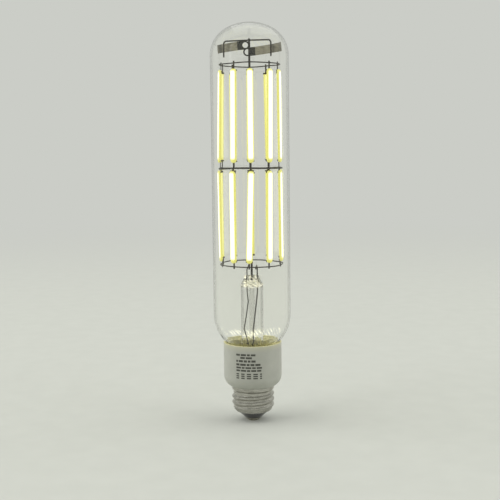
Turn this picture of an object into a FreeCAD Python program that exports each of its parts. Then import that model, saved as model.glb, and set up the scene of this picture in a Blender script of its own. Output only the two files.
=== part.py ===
import FreeCAD, Part
import Sketcher
import math
import os
import re

# Tubular filament lamp with a screw cap: clear blown tube, glass stem, two tiers of ten filament
# strips on three wire rings, white collar with the driver inside, and an E27 cap.
# Frame: the axis is Z, the centre contact's flat face is at z = 0, the dome is up, the front is -Y.

Vector = FreeCAD.Vector
Rotation = FreeCAD.Rotation
Placement = FreeCAD.Placement

# Driving dimensions, in millimetres and degrees
SIZES = [
    ("glass_diameter", 48.0),
    ("glass_wall", 1.0),
    ("glass_shoulder_radius", 25.0),
    ("dome_room", 5.3),
    ("dome_knuckle_radius", 19.0),
    ("dome_crown_radius", 30.0),
    ("neck_diameter", 30.0),
    ("neck_fillet", 4.0),
    ("neck_length", 4.6),
    ("stem_diameter", 13.8),
    ("stem_wall", 1.0),
    ("stem_length", 43.6),
    ("stem_bore_corner", 3.0),
    ("stem_crown_wall", 1.2),
    ("flare_land", 1.2),
    ("press_height", 6.3),
    ("press_width", 9.6),
    ("press_thickness", 4.6),
    ("exhaust_diameter", 3.5),
    ("exhaust_bore", 1.9),
    ("exhaust_clearance", 2.4),
    ("post_diameter", 1.3),
    ("post_seat", 3.9),
    ("post_head", 15.7),
    ("arm_wire", 0.9),
    ("arm_below_top", 1.0),
    ("arm_drop", 0.5),
    ("arm_bend", 1.8),
    ("arm_foot_gap", 4.5),
    ("left_arm_gap", 7.5),
    ("left_arm_turn", -90.0),
    ("right_arm_gap", 8.7),
    ("right_arm_turn", 65.0),
    ("ring_arm_turn", 180.0),
    ("leaf_thickness", 0.3),
    ("leaf_height", 5.2),
    ("leaf_flat", 7.4),
    ("leaf_middle_turn", 27.0),
    ("leaf_bend", 0.9),
    ("leaf_curl", 1.0),
    ("leaf_curl_turn", 130.0),
    ("leaf_hole", 3.4),
    ("leaf_tilt", 5.5),
    ("upper_leaf_drop", 3.8),
    ("upper_leaf_start", -0.2),
    ("upper_leaf_outer", 4.0),
    ("upper_leaf_outer_turn", 30.0),
    ("upper_leaf_gap", 3.8),
    ("lower_leaf_drop", 7.9),
    ("lower_leaf_start", -3.7),
    ("lower_leaf_outer", 8.2),
    ("lower_leaf_outer_turn", 40.0),
    ("lower_leaf_gap", 4.5),
    ("ring_wire", 0.7),
    ("ring_stand", 7.2),
    ("top_ring_gap", 4.6),
    ("middle_ring_gap", 3.65),
    ("bottom_ring_gap", 3.75),
    ("weld_gap", 0.03),
    ("filament_length", 55.7),
    ("filament_width", 3.9),
    ("filament_thickness", 1.5),
    ("filament_corner", 1.4),
    ("filament_chamfer", 0.45),
    ("upper_head_gap", 3.4),
    ("upper_foot_gap", 3.4),
    ("lower_head_gap", 1.4),
    ("lower_foot_gap", 2.2),
    ("terminal_thickness", 0.3),
    ("terminal_bar_width", 4.2),
    ("terminal_bar_height", 0.9),
    ("terminal_inset", 0.6),
    ("pin_width", 0.9),
    ("top_pin_overrun", 1.2),
    ("bottom_pin_overrun", 1.3),
    ("pin_parting", 0.1),
    ("lead_seat", 3.0),
    ("ring_lead_wire", 0.8),
    ("ring_lead_offset", 3.4),
    ("ring_lead_bend", 3.0),
    ("ring_lead_turn_drop", 1.6),
    ("ring_lead_turn_reach", 3.0),
    ("ring_lead_turn_shift", 0.3),
    ("ring_lead_tip_shift", 1.0),
    ("post_lead_wire", 0.7),
    ("post_lead_offset", 3.0),
    ("post_lead_bend", 2.5),
    ("post_lead_rise", 3.6),
    ("post_lead_run", 4.4),
    ("post_lead_weld", 4.0),
    ("collar_wall", 1.0),
    ("collar_clearance", 0.25),
    ("collar_foot_step", 0.675),
    ("collar_foot_radius", 7.5),
    ("spigot_depth", 6.4),
    ("spigot_wall", 1.2),
    ("cement_depth", 1.3),
    ("cement_rise", 2.2),
    ("cement_floor", 3.4),
    ("cement_core_diameter", 14.0),
    ("board_margin", 2.1),
    ("board_ledge", 1.0),
    ("board_thickness", 1.2),
    ("board_rise", 10.6),
    ("board_headroom", 3.4),
    ("seat_clearance", 0.2),
    ("thread_major", 26.45),
    ("thread_depth", 1.095),
    ("thread_pitch", 3.629),
    ("thread_turns", 3.0),
    ("thread_land", 0.318),
    ("shell_wall", 0.3),
    ("shell_bottom", 6.0),
    ("shell_taper", 2.1),
    ("shell_lip_width", 2.23),
    ("shell_lip_height", 1.9),
    ("shell_flange", 1.8),
    ("insulator_seat_height", 1.4),
    ("insulator_hole", 2.0),
    ("contact_diameter", 9.8),
    ("contact_flat_diameter", 6.6),
    ("contact_thickness", 1.6),
    ("contact_rim", 0.2),
    ("cap_wire", 0.8),
    ("shell_wire_inset", 1.83),
    ("shell_wire_bend", 2.0),
    ("shell_wire_turn", 1.0),
    ("shell_wire_drop", 3.0),
    ("shell_wire_weld", 3.0),
    ("contact_wire_across", -8.4),
    ("contact_wire_along", 2.4),
    ("contact_wire_bend", 2.5),
    ("contact_wire_rise", 5.0),
    ("component_gap", 1.23),
    ("buffer_capacitor_diameter", 8.0),
    ("buffer_capacitor_length", 11.0),
    ("choke_diameter", 7.0),
    ("choke_waist", 4.4),
    ("choke_length", 8.5),
    ("choke_cheek", 1.06),
    ("choke_across", -4.6),
    ("choke_along", -3.8),
    ("film_capacitor_length", 7.5),
    ("film_capacitor_width", 3.6),
    ("film_capacitor_height", 5.0),
    ("film_capacitor_across", 0.4),
    ("film_capacitor_along", -6.6),
    ("rectifier_length", 6.4),
    ("rectifier_width", 4.8),
    ("rectifier_height", 2.4),
    ("rectifier_inset_across", 11.0),
    ("rectifier_inset_along", 5.4),
    ("chip_length", 4.9),
    ("chip_width", 3.9),
    ("chip_height", 1.5),
    ("chip_inset_across", 4.6),
    ("chip_inset_along", 6.6),
    ("resistor_diameter", 2.4),
    ("resistor_length", 6.2),
    ("resistor_inset", 6.0),
    ("ring_lead_hole_across", 0.6),
    ("ring_lead_hole_along", -3.6),
    ("post_lead_hole_across", -2.4),
    ("post_lead_hole_along", -3.0),
]

# Where each filament crosses its two rings, in degrees from the front: hand-set, so none is quite even
UPPER_TURNS = [
    (0.6, 0.6), (35.5, 40.5), (65.0, 70.0), (109.0, 106.0), (143.0, 145.0),
    (181.0, 180.0), (215.0, 217.0), (250.0, 248.0), (283.0, 288.0), (328.5, 329.0),
]
LOWER_TURNS = [
    (-4.5, 1.0), (33.8, 35.5), (69.5, 64.5), (108.0, 107.0), (144.0, 144.0),
    (180.0, 180.0), (216.0, 216.0), (252.0, 253.0), (288.0, 281.0), (326.0, 325.5),
]

# Heights and radii that follow from the sizes, from the cap upwards
THREAD_MINOR = "(thread_major - 2 * thread_depth)"
FIRST_ROOT = "(shell_bottom + shell_taper)"
LAST_ROOT = f"({FIRST_ROOT} + thread_turns * thread_pitch)"
FLANGE_FOOT = f"({LAST_ROOT} + thread_land + thread_depth)"
SHELL_TOP = f"({FLANGE_FOOT} + shell_flange)"
SHELL_BORE = f"({THREAD_MINOR} / 2 - shell_wall)"
COLLAR_BOTTOM = f"({SHELL_TOP} + seat_clearance)"
SPIGOT_BOTTOM = f"({COLLAR_BOTTOM} - spigot_depth)"
SPIGOT_BORE = f"({SHELL_BORE} - seat_clearance - spigot_wall)"
SHELL_WIRE_ACROSS = f"({SPIGOT_BORE} - shell_wire_inset)"
BOARD_FOOT = f"({COLLAR_BOTTOM} + board_rise)"
BOARD_TOP = f"({BOARD_FOOT} + board_thickness)"
CEMENT_BASE = f"({BOARD_TOP} + board_headroom)"
NECK_BOTTOM = f"({CEMENT_BASE} + cement_floor + stem_wall)"
FILLET_FOOT = f"({NECK_BOTTOM} + neck_length)"
CEMENT_TOP = f"({FILLET_FOOT} + cement_rise)"
COLLAR_TOP = f"({CEMENT_TOP} + cement_depth)"
SHOULDER_REACH = "(glass_shoulder_radius + neck_fillet)"
SHOULDER_ACROSS = "(neck_diameter / 2 + neck_fillet - glass_diameter / 2 + glass_shoulder_radius)"
SHOULDER_TOP = f"({FILLET_FOOT} + sqrt({SHOULDER_REACH} ^ 2 - {SHOULDER_ACROSS} ^ 2))"
GLASS_AT_RIM = ("(glass_diameter / 2 - glass_shoulder_radius + "
                f"sqrt(glass_shoulder_radius ^ 2 - ({SHOULDER_TOP} - {COLLAR_TOP}) ^ 2))")
COLLAR_BORE = f"({GLASS_AT_RIM} + collar_clearance)"
BOARD_RADIUS = f"({COLLAR_BORE} - board_margin)"
STEM_TOP = f"({NECK_BOTTOM} + stem_length)"
PRESS_TOP = f"({STEM_TOP} + press_height)"
GLASS_BORE = "(glass_diameter / 2 - glass_wall)"
BOTTOM_RING = f"({PRESS_TOP} + ring_stand)"
MIDDLE_RING = f"({BOTTOM_RING} + lower_foot_gap + filament_length + lower_head_gap)"
TOP_RING = f"({MIDDLE_RING} + upper_foot_gap + filament_length + upper_head_gap)"
POST_TOP = f"({TOP_RING} + post_head)"
STRAIGHT_TOP = f"({TOP_RING} + dome_room)"
RINGS = {
    "bottom": (f"({GLASS_BORE} - bottom_ring_gap)", BOTTOM_RING),
    "middle": (f"({GLASS_BORE} - middle_ring_gap)", MIDDLE_RING),
    "top": (f"({GLASS_BORE} - top_ring_gap)", TOP_RING),
}

# Bends of the two leads inside the stem: (across, along, depth below the stem's top), set by hand
RING_LEAD_BENDS = [(0.5, -3.6, 27.6), (2.6, -2.6, 10.1)]
POST_LEAD_BENDS = [(-3.0, -3.0, 34.6), (-4.9, -1.6, 27.1), (-3.5, -2.2, 18.1), (-2.3, -2.4, 9.6)]

doc = FreeCAD.newDocument("tubular_lamp")
sheet = doc.addObject("Spreadsheet::Sheet", "Sizes")
for row, (alias, number) in enumerate(SIZES, start=1):
    sheet.set(f"A{row}", str(number))
    sheet.setAlias(f"A{row}", alias)
doc.recompute()
ALIAS = re.compile(r"\b(" + "|".join(alias for alias, _ in SIZES) + r")\b")


def size(expression):
    """Works out an expression of the sheet's names, such as glass_diameter / 2."""
    return float(sheet.evalExpression(expression))


def bound(expression):
    """The same expression as an object outside the sheet has to write it."""
    return ALIAS.sub(lambda found: "Sizes." + found.group(), expression)


def new_body(label):
    body = doc.addObject("PartDesign::Body", label)
    body.Label = label
    return body


def new_sketch(body, name, role, lift=None):
    """A sketch on one of the body's own origin planes, lifted off it by an expression."""
    sketch = body.newObject("Sketcher::SketchObject", name)
    plane = next(item for item in body.Origin.OriginFeatures if item.Role == role)
    sketch.AttachmentSupport = [(plane, "")]
    sketch.MapMode = "FlatFace"
    if lift:
        sketch.setExpression("AttachmentOffset.Base.z", bound(lift))
    doc.recompute()
    return sketch


def pin_point(sketch, edge, end, across, along):
    """Fixes one end of an edge at a place given by two expressions."""
    for kind, expression, axis in (("DistanceX", across, -2), ("DistanceY", along, -1)):
        if expression == "0":
            sketch.addConstraint(Sketcher.Constraint("PointOnObject", edge, end, axis))
        else:
            index = sketch.addConstraint(
                Sketcher.Constraint(kind, -1, 1, edge, end, size(expression)))
            sketch.setExpression(f"Constraints[{index}]", bound(expression))


def arc_between(start, end, radius, bulge):
    """The shorter arc from start to end, swelling to the left (+1) or right (-1) of the way."""
    chord = end - start
    middle = (start + end) * 0.5
    left = Vector(-chord.y, chord.x, 0).normalize()
    reach = math.sqrt(max(radius ** 2 - (chord.Length / 2) ** 2, 0))
    centre = middle - left * (bulge * reach)
    angles = [math.atan2((point - centre).y, (point - centre).x) for point in (start, end)]
    if bulge > 0:
        angles.reverse()
    circle = Part.Circle(centre, Vector(0, 0, 1), radius)
    return Part.ArcOfCircle(circle, *angles)


def draw_outline(sketch, corners, arcs, closed=True):
    """Draws an outline through corners (pairs of expressions). arcs: edge number to
    (radius expression, bulge). Every corner and radius is held by its expression."""
    places = [Vector(size(x), size(y), 0) for x, y in corners]
    count = len(corners) if closed else len(corners) - 1
    ends = []
    for number in range(count):
        start, end = places[number], places[(number + 1) % len(places)]
        if number in arcs:
            radius, bulge = arcs[number]
            edge = sketch.addGeometry(arc_between(start, end, size(radius), bulge), False)
            index = sketch.addConstraint(Sketcher.Constraint("Radius", edge, size(radius)))
            sketch.setExpression(f"Constraints[{index}]", bound(radius))
            ends.append((edge, 2, 1) if bulge > 0 else (edge, 1, 2))
        else:
            edge = sketch.addGeometry(Part.LineSegment(start, end), False)
            ends.append((edge, 1, 2))
    for number, (edge, first, last) in enumerate(ends):
        pin_point(sketch, edge, first, *corners[number])
        if closed or number + 1 < count:
            following = ends[(number + 1) % count]
            sketch.addConstraint(
                Sketcher.Constraint("Coincident", edge, last, following[0], following[1]))
    if not closed:
        pin_point(sketch, ends[-1][0], ends[-1][2], *corners[-1])
    doc.recompute()


def turned_part(label, corners, arcs=None):
    """A body turned about Z from a closed half-section (radius, height)."""
    body = new_body(label)
    section = new_sketch(body, label + "_section", "XZ_Plane")
    draw_outline(section, corners, arcs or {})
    turn = body.newObject("PartDesign::Revolution", label + "_turn")
    turn.Profile = section
    turn.ReferenceAxis = (section, ["V_Axis"])
    turn.Angle = 360.0
    section.Visibility = False
    doc.recompute()
    return body


def solid_feature(label, shape, placement=None):
    feature = doc.addObject("Part::Feature", label)
    feature.Label = label
    feature.Shape = shape
    if placement:
        feature.Placement = placement
    return feature


# Blown glass

def glass_section(inset):
    """Half of the bulb's section from the neck's foot to the crown, inset by an expression."""
    outer = f"(glass_diameter / 2 - {inset})"
    neck = f"(neck_diameter / 2 - {inset})"
    shoulder = f"(glass_shoulder_radius - {inset})"
    fillet = f"(neck_fillet + {inset})"
    knuckle = f"(dome_knuckle_radius - {inset})"
    crown = f"(dome_crown_radius - {inset})"
    side = f"({outer} - {knuckle})"
    rise = f"sqrt(({crown} - {knuckle}) ^ 2 - {side} ^ 2)"
    share = f"({shoulder} / {SHOULDER_REACH})"
    corners = [
        (neck, NECK_BOTTOM),
        (neck, FILLET_FOOT),
        (f"{outer} - {shoulder} + {share} * {SHOULDER_ACROSS}",
         f"{SHOULDER_TOP} - {share} * ({SHOULDER_TOP} - {FILLET_FOOT})"),
        (outer, SHOULDER_TOP),
        (outer, STRAIGHT_TOP),
        (f"{side} * {crown} / ({crown} - {knuckle})",
         f"{STRAIGHT_TOP} + {rise} * {knuckle} / ({crown} - {knuckle})"),
        ("0", f"{STRAIGHT_TOP} - {rise} + {crown}"),
    ]
    return corners, {1: (fillet, 1), 2: (shoulder, -1), 4: (knuckle, -1), 5: (crown, -1)}


def make_glass_bulb():
    outside, outside_arcs = glass_section("0")
    inside, inside_arcs = glass_section("glass_wall")
    last = 2 * len(outside) - 2
    arcs = dict(outside_arcs)
    for edge, (radius, bulge) in inside_arcs.items():
        arcs[last - edge] = (radius, -bulge)
    return turned_part("glass_bulb", outside + inside[::-1], arcs)


def make_stem():
    """Flare, tube and pinched press of the glass stem, pierced for the wires sealed in it."""
    tube = "stem_diameter / 2"
    bore = "(stem_diameter / 2 - stem_wall)"
    rim = "neck_diameter / 2"
    land = f"({rim} - glass_wall - flare_land)"
    bell = f"({land} - {tube})"
    bell_top = f"{NECK_BOTTOM} + {bell}"
    crown = f"{STEM_TOP} - stem_crown_wall"
    corners = [
        (tube, bell_top),
        (tube, STEM_TOP),
        ("0", STEM_TOP),
        ("0", crown),
        (f"{bore} - stem_bore_corner", crown),
        (bore, f"{crown} - stem_bore_corner"),
        (bore, bell_top),
        (land, f"{NECK_BOTTOM} - stem_wall"),
        (rim, f"{NECK_BOTTOM} - stem_wall"),
        (rim, NECK_BOTTOM),
        (land, NECK_BOTTOM),
    ]
    arcs = {4: ("stem_bore_corner", 1), 6: (f"{bell} + stem_wall", -1), 10: (bell, 1)}
    body = turned_part("stem_glass", corners, arcs)

    base = new_sketch(body, "press_base", "XY_Plane", STEM_TOP)
    base.addGeometry(Part.Circle(Vector(0, 0, 0), Vector(0, 0, 1), size(tube)), False)
    base.addConstraint(Sketcher.Constraint("Coincident", 0, 3, -1, 1))
    base.addConstraint(Sketcher.Constraint("Radius", 0, size(tube)))
    base.setExpression("Constraints[1]", bound(tube))
    tip = new_sketch(body, "press_tip", "XY_Plane", PRESS_TOP)
    wide = Vector(size("press_width / 2"), 0, 0)
    deep = Vector(0, size("press_thickness / 2"), 0)
    tip.addGeometry(Part.Ellipse(wide, deep, Vector(0, 0, 0)), False)
    tip.exposeInternalGeometry(0)
    tip.addConstraint(Sketcher.Constraint("Coincident", 0, 3, -1, 1))
    tip.addConstraint(Sketcher.Constraint("Horizontal", 1))
    for axis, span in ((1, "press_width"), (2, "press_thickness")):
        index = tip.addConstraint(Sketcher.Constraint("Distance", axis, size(span)))
        tip.setExpression(f"Constraints[{index}]", bound(span))
    doc.recompute()
    press = body.newObject("PartDesign::AdditiveLoft", "press")
    press.Profile = base
    press.Sections = [tip]
    doc.recompute()

    holes = new_sketch(body, "wire_holes", "XY_Plane", PRESS_TOP)
    wires = [("0", "post_diameter / 2"), ("ring_lead_offset", "ring_lead_wire / 2"),
             ("-post_lead_offset", "post_lead_wire / 2")]
    for number, (across, radius) in enumerate(wires):
        centre = Vector(size(across), 0, 0)
        holes.addGeometry(Part.Circle(centre, Vector(0, 0, 1), size(radius)), False)
        pin_point(holes, number, 3, across, "0")
        index = holes.addConstraint(Sketcher.Constraint("Radius", number, size(radius)))
        holes.setExpression(f"Constraints[{index}]", bound(radius))
    doc.recompute()
    before = body.Shape.Volume
    pierced = body.newObject("PartDesign::Pocket", "pierced")
    pierced.Profile = holes
    pierced.Type = "Length"
    pierced.setExpression("Length", bound("press_height + stem_crown_wall + stem_wall"))
    doc.recompute()
    if not body.Shape.Volume < before:
        raise RuntimeError("the press was not pierced")
    for sketch in (base, tip, holes):
        sketch.Visibility = False
    return body


def make_exhaust_tube():
    outer = "exhaust_diameter / 2"
    bore = "exhaust_bore / 2"
    wall = f"({outer} - {bore})"
    top = f"{STEM_TOP} - stem_crown_wall"
    tip = f"({BOARD_TOP} + exhaust_clearance)"
    corners = [
        ("0", tip),
        (outer, f"{tip} + {outer}"),
        (outer, top),
        (bore, top),
        (bore, f"{tip} + {outer}"),
        ("0", f"{tip} + {wall}"),
    ]
    return turned_part("exhaust_tube", corners, {0: (outer, -1), 4: (bore, 1)})


# Wires

def wire_path(points, bend):
    """Straight runs joined by tangent arcs of one bend radius, less where a run is short."""
    edges = []
    start = points[0]
    for before, corner, after in zip(points, points[1:], points[2:]):
        inward = (before - corner)
        outward = (after - corner)
        turn = math.pi - inward.getAngle(outward)
        limit = 0.45 * min(inward.Length, outward.Length) / math.tan(turn / 2)
        radius = min(bend, limit)
        setback = radius * math.tan(turn / 2)
        into = corner + inward.normalize() * setback
        out = corner + outward.normalize() * setback
        bisector = (inward + outward).normalize()
        middle = corner + bisector * (radius / math.cos(turn / 2) - radius)
        edges.append(Part.LineSegment(start, into).toShape())
        edges.append(Part.Arc(into, middle, out).toShape())
        start = out
    edges.append(Part.LineSegment(start, points[-1]).toShape())
    return Part.Wire(edges)


def bent_wire(label, points, diameter, bend):
    """A round wire bent along points, as one solid."""
    path = wire_path(points, bend)
    ring = Part.Circle(points[0], points[1] - points[0], diameter / 2)
    shape = path.makePipeShell([Part.Wire(ring.toShape())], True, False)
    expected = math.pi * diameter ** 2 / 4 * path.Length
    if abs(shape.Volume - expected) > 0.01 * expected:
        raise RuntimeError(f"{label}: swept volume {shape.Volume:.3f}, expected {expected:.3f}")
    return solid_feature(label, shape)


def make_centre_post():
    post = doc.addObject("Part::Cylinder", "centre_post")
    post.Label = "centre_post"
    post.setExpression("Radius", bound("post_diameter / 2"))
    post.setExpression("Height", bound(f"{POST_TOP} - {PRESS_TOP} + post_seat"))
    post.setExpression("Placement.Base.z", bound(f"{PRESS_TOP} - post_seat"))
    return post


def make_ring(name):
    radius, height = RINGS[name]
    ring = doc.addObject("Part::Torus", name + "_ring")
    ring.Label = name + "_ring"
    ring.setExpression("Radius1", bound(radius))
    ring.setExpression("Radius2", bound("ring_wire / 2"))
    ring.setExpression("Placement.Base.z", bound(height))
    return ring


def make_arm(label, reach, foot, turn):
    """A support arm: out from the post's side, round a bend and down to its foot."""
    height = f"({POST_TOP} - arm_below_top)"
    angle = math.radians(size(turn))
    outward = Vector(math.sin(angle), -math.cos(angle), 0)
    up = Vector(0, 0, 1)
    points = [
        outward * size("post_diameter / 2 + weld_gap") + up * size(height),
        outward * size(reach) + up * size(f"{height} - arm_drop"),
        outward * size(reach) + up * size(foot),
    ]
    return bent_wire(label, points, size("arm_wire"), size("arm_bend"))


def board_middle():
    """Height of the board's middle, where the leads and the cap wires are soldered in."""
    return size(f"{BOARD_TOP} - board_thickness / 2")


def make_ring_lead():
    """Lead sealed in the press, from the board up past the exhaust tube and out to the bottom ring."""
    offset = size("ring_lead_offset")
    tip = size(f"{RINGS['bottom'][0]} + ring_wire")
    under_ring = size(f"{BOTTOM_RING} - ring_wire / 2 - ring_lead_wire / 2 - weld_gap")
    stem_top = size(STEM_TOP)
    points = [Vector(size("ring_lead_hole_across"), size("ring_lead_hole_along"), board_middle())]
    points += [Vector(across, along, stem_top - depth) for across, along, depth in RING_LEAD_BENDS]
    points += [
        Vector(offset, 0, stem_top - size("lead_seat")),
        Vector(offset, 0, under_ring - size("ring_lead_turn_drop")),
        Vector(offset - size("ring_lead_turn_shift"), -size("ring_lead_turn_reach"), under_ring),
        Vector(offset - size("ring_lead_tip_shift"), -tip, under_ring),
    ]
    return bent_wire("ring_lead", points, size("ring_lead_wire"), size("ring_lead_bend"))


def make_post_lead():
    """Lead that bows out in the stem, passes the press and is welded to the post's side."""
    offset = size("post_lead_offset")
    weld = size("post_diameter / 2 + post_lead_wire / 2 + weld_gap")
    stem_top = size(STEM_TOP)
    points = [Vector(size("post_lead_hole_across"), size("post_lead_hole_along"), board_middle())]
    points += [Vector(across, along, stem_top - depth) for across, along, depth in POST_LEAD_BENDS]
    points += [
        Vector(-offset, 0, stem_top - size("lead_seat")),
        Vector(-offset, 0, size(f"{PRESS_TOP} + post_lead_rise")),
        Vector(-weld, 0, size(f"{PRESS_TOP} + post_lead_rise + post_lead_run")),
        Vector(-weld, 0, size(f"{PRESS_TOP} + post_lead_rise + post_lead_run + post_lead_weld")),
    ]
    return bent_wire("post_lead", points, size("post_lead_wire"), size("post_lead_bend"))


def make_leaf(name, half_turn):
    """A leaf spring bent from strip: flat with a round holed end, two bends and a curled tip."""
    start = size(f"{name}_start")
    outer = size(f"{name}_outer")
    thickness = size("leaf_thickness")
    tall = size("leaf_height")
    flat = size("leaf_flat")
    aside = size("post_diameter / 2 + leaf_thickness / 2 + weld_gap")
    middle_turn = math.radians(size("leaf_middle_turn"))
    outer_turn = math.radians(size(f"{name}_outer_turn"))
    first = Vector(start, aside, 0)
    second = first + Vector(flat, 0, 0)
    reach = size(f"{GLASS_BORE} - {name}_gap")
    middle = (reach - second.x - outer * math.cos(outer_turn)) / math.cos(middle_turn)
    third = second + Vector(math.cos(middle_turn), -math.sin(middle_turn), 0) * middle
    along = Vector(math.cos(outer_turn), -math.sin(outer_turn), 0)
    fourth = third + along * outer
    inward = Vector(along.y, -along.x, 0)
    curl = size("leaf_curl")
    curl_centre = fourth + inward * curl
    half_curl = math.radians(size("leaf_curl_turn") / 2)
    curl_middle = curl_centre + (along * math.sin(half_curl) - inward * math.cos(half_curl)) * curl
    curl_end = curl_centre + (along * math.sin(2 * half_curl) - inward * math.cos(2 * half_curl)) * curl
    runs = wire_path([first, second, third, fourth], size("leaf_bend"))
    hook = Part.Arc(fourth, curl_middle, curl_end).toShape()
    path = Part.Wire(runs.Edges + [hook])
    edge_section = Part.makePolygon([
        Vector(start, aside - thickness / 2, -tall / 2), Vector(start, aside + thickness / 2, -tall / 2),
        Vector(start, aside + thickness / 2, tall / 2), Vector(start, aside - thickness / 2, tall / 2),
        Vector(start, aside - thickness / 2, -tall / 2)])
    strip = path.makePipeShell([edge_section], True, False)
    end_radius = tall / 2
    facing = Vector(0, 1, 0)
    end_centre = Vector(start + end_radius, aside - thickness, 0)
    corner = Part.makeBox(end_radius, 2 * thickness, tall, Vector(start, aside - thickness, -tall / 2))
    round_end = Part.makeCylinder(end_radius, 2 * thickness, end_centre, facing)
    hole = Part.makeCylinder(size("leaf_hole / 2"), 2 * thickness, end_centre, facing)
    strip = strip.cut(corner.cut(round_end)).cut(hole)
    turned = Rotation(Vector(0, 0, 1), 180.0 if half_turn else 0.0)
    tilted = Rotation(Vector(0, 1, 0), -size("leaf_tilt"))
    seat = Placement(Vector(0, 0, size(f"{POST_TOP} - {name}_drop")), tilted.multiply(turned))
    return solid_feature(f"{name}_spring", strip, seat)


# Filaments: local frame with Z along the strip, the pins' mid plane at y = 0 and the face towards -Y

def strip_placement(tier, turns):
    """Placement that stands a strip between its two rings, pins on their inner side, back to the axis."""
    pin_in = size("ring_wire / 2 + terminal_thickness / 2 + weld_gap")
    low, high = tier["rings"]
    ends = []
    for ring, turn in zip((low, high), turns):
        angle = math.radians(turn)
        ring_radius, ring_height = RINGS[ring]
        radius = size(ring_radius) - pin_in
        ends.append(Vector(radius * math.sin(angle), -radius * math.cos(angle), size(ring_height)))
    along = (ends[1] - ends[0]).normalize()
    facing = math.radians(sum(turns) / 2)
    inward = Vector(-math.sin(facing), math.cos(facing), 0)
    foot = ends[0] + along * size(tier["foot_gap"])
    return Placement(foot, Rotation(inward.cross(along), inward, along, "ZYX"))


def make_filament(label, placement):
    """A strip of light-emitting chips in its coat: a long rounded bar, chamfered round its face."""
    body = new_body(label)
    face = new_sketch(body, label + "_face", "XZ_Plane", "terminal_thickness / 2")
    side = "filament_width / 2"
    inner = f"({side} - filament_corner)"
    corners = [
        (inner, "0"), (side, "filament_corner"), (side, "filament_length - filament_corner"),
        (inner, "filament_length"), (f"-{inner}", "filament_length"),
        (f"-{side}", "filament_length - filament_corner"), (f"-{side}", "filament_corner"),
        (f"-{inner}", "0"),
    ]
    rounds = {number: ("filament_corner", -1) for number in (0, 2, 4, 6)}
    draw_outline(face, corners, rounds)
    coat = body.newObject("PartDesign::Pad", label + "_coat")
    coat.Profile = face
    coat.setExpression("Length", bound("filament_thickness"))
    doc.recompute()
    front = min(coat.Shape.Faces, key=lambda item: item.CenterOfMass.y)
    names = [f"Edge{number}" for number, edge in enumerate(coat.Shape.Edges, start=1)
             if any(edge.isSame(other) for other in front.Edges)]
    chamfer = body.newObject("PartDesign::Chamfer", label + "_chamfer")
    chamfer.Base = (coat, names)
    chamfer.setExpression("Size", bound("filament_chamfer"))
    face.Visibility = False
    body.Placement = placement
    doc.recompute()
    return body


def make_terminal_blank(label, pin_length):
    """A T-shaped end plate: the bar lies behind the strip's shoulder, the pin runs to the ring."""
    body = new_body(label)
    plate = new_sketch(body, label + "_plate", "XZ_Plane")
    bar = "terminal_bar_width / 2"
    pin = "pin_width / 2"
    bar_foot = "-(terminal_inset + terminal_bar_height)"
    corners = [
        (f"-{bar}", bar_foot), (bar, bar_foot), (bar, "-terminal_inset"), (pin, "-terminal_inset"),
        (pin, pin_length), (f"-{pin}", pin_length), (f"-{pin}", "-terminal_inset"),
        (f"-{bar}", "-terminal_inset"),
    ]
    draw_outline(plate, corners, {})
    pad = body.newObject("PartDesign::Pad", label + "_pad")
    pad.Profile = plate
    pad.setExpression("Length", bound("terminal_thickness"))
    pad.Midplane = True
    plate.Visibility = False
    doc.recompute()
    return body.Shape.copy()


def make_tier(tier):
    """Ten strips between two rings, and the group of end plates at each end."""
    placements = [strip_placement(tier, turns) for turns in tier["turns"]]
    filaments = []
    for number, placement in enumerate(placements, start=1):
        filaments.append(make_filament(f"filament_{tier['name']}_{number:02d}", placement))
    high_blank = make_terminal_blank(f"{tier['name']}_high_blank", tier["high_pin"])
    low_blank = make_terminal_blank(f"{tier['name']}_low_blank", tier["low_pin"])
    upright = Placement(Vector(0, 0, size("filament_length")), Rotation())
    flipped = Placement(Vector(0, 0, 0), Rotation(Vector(0, 1, 0), 180))
    groups = []
    for end, blank, seat in (("high", high_blank, upright), ("low", low_blank, flipped)):
        plates = []
        for placement in placements:
            plate = blank.copy()
            plate.Placement = placement.multiply(seat)
            plates.append(plate)
        groups.append(solid_feature(f"terminals_{tier['name']}_{end}", Part.makeCompound(plates)))
    return filaments + groups


# Collar, driver and cap

def make_collar():
    """Moulded collar: rounded foot, straight side, thin rim, board ledge and spigot for the cap."""
    rim = COLLAR_BORE
    outer = f"({rim} + collar_wall)"
    foot = "(thread_major / 2 + collar_foot_step)"
    centre = f"({outer} - collar_foot_radius)"
    side_foot = f"{COLLAR_BOTTOM} + sqrt(collar_foot_radius ^ 2 - ({foot} - {centre}) ^ 2)"
    spigot = f"({SHELL_BORE} - seat_clearance)"
    board = f"({BOARD_RADIUS} + seat_clearance)"
    waist = f"({BOARD_RADIUS} - board_ledge)"
    step = f"{CEMENT_BASE} - seat_clearance"
    corners = [
        (spigot, SPIGOT_BOTTOM),
        (spigot, COLLAR_BOTTOM),
        (foot, COLLAR_BOTTOM),
        (outer, side_foot),
        (outer, COLLAR_TOP),
        (rim, COLLAR_TOP),
        (rim, step),
        (board, step),
        (board, BOARD_FOOT),
        (waist, BOARD_FOOT),
        (waist, f"{BOARD_FOOT} - collar_wall"),
        (SPIGOT_BORE, f"{COLLAR_BOTTOM} + collar_wall"),
        (SPIGOT_BORE, SPIGOT_BOTTOM),
    ]
    return turned_part("collar", corners, {2: ("collar_foot_radius", -1)})


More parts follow.
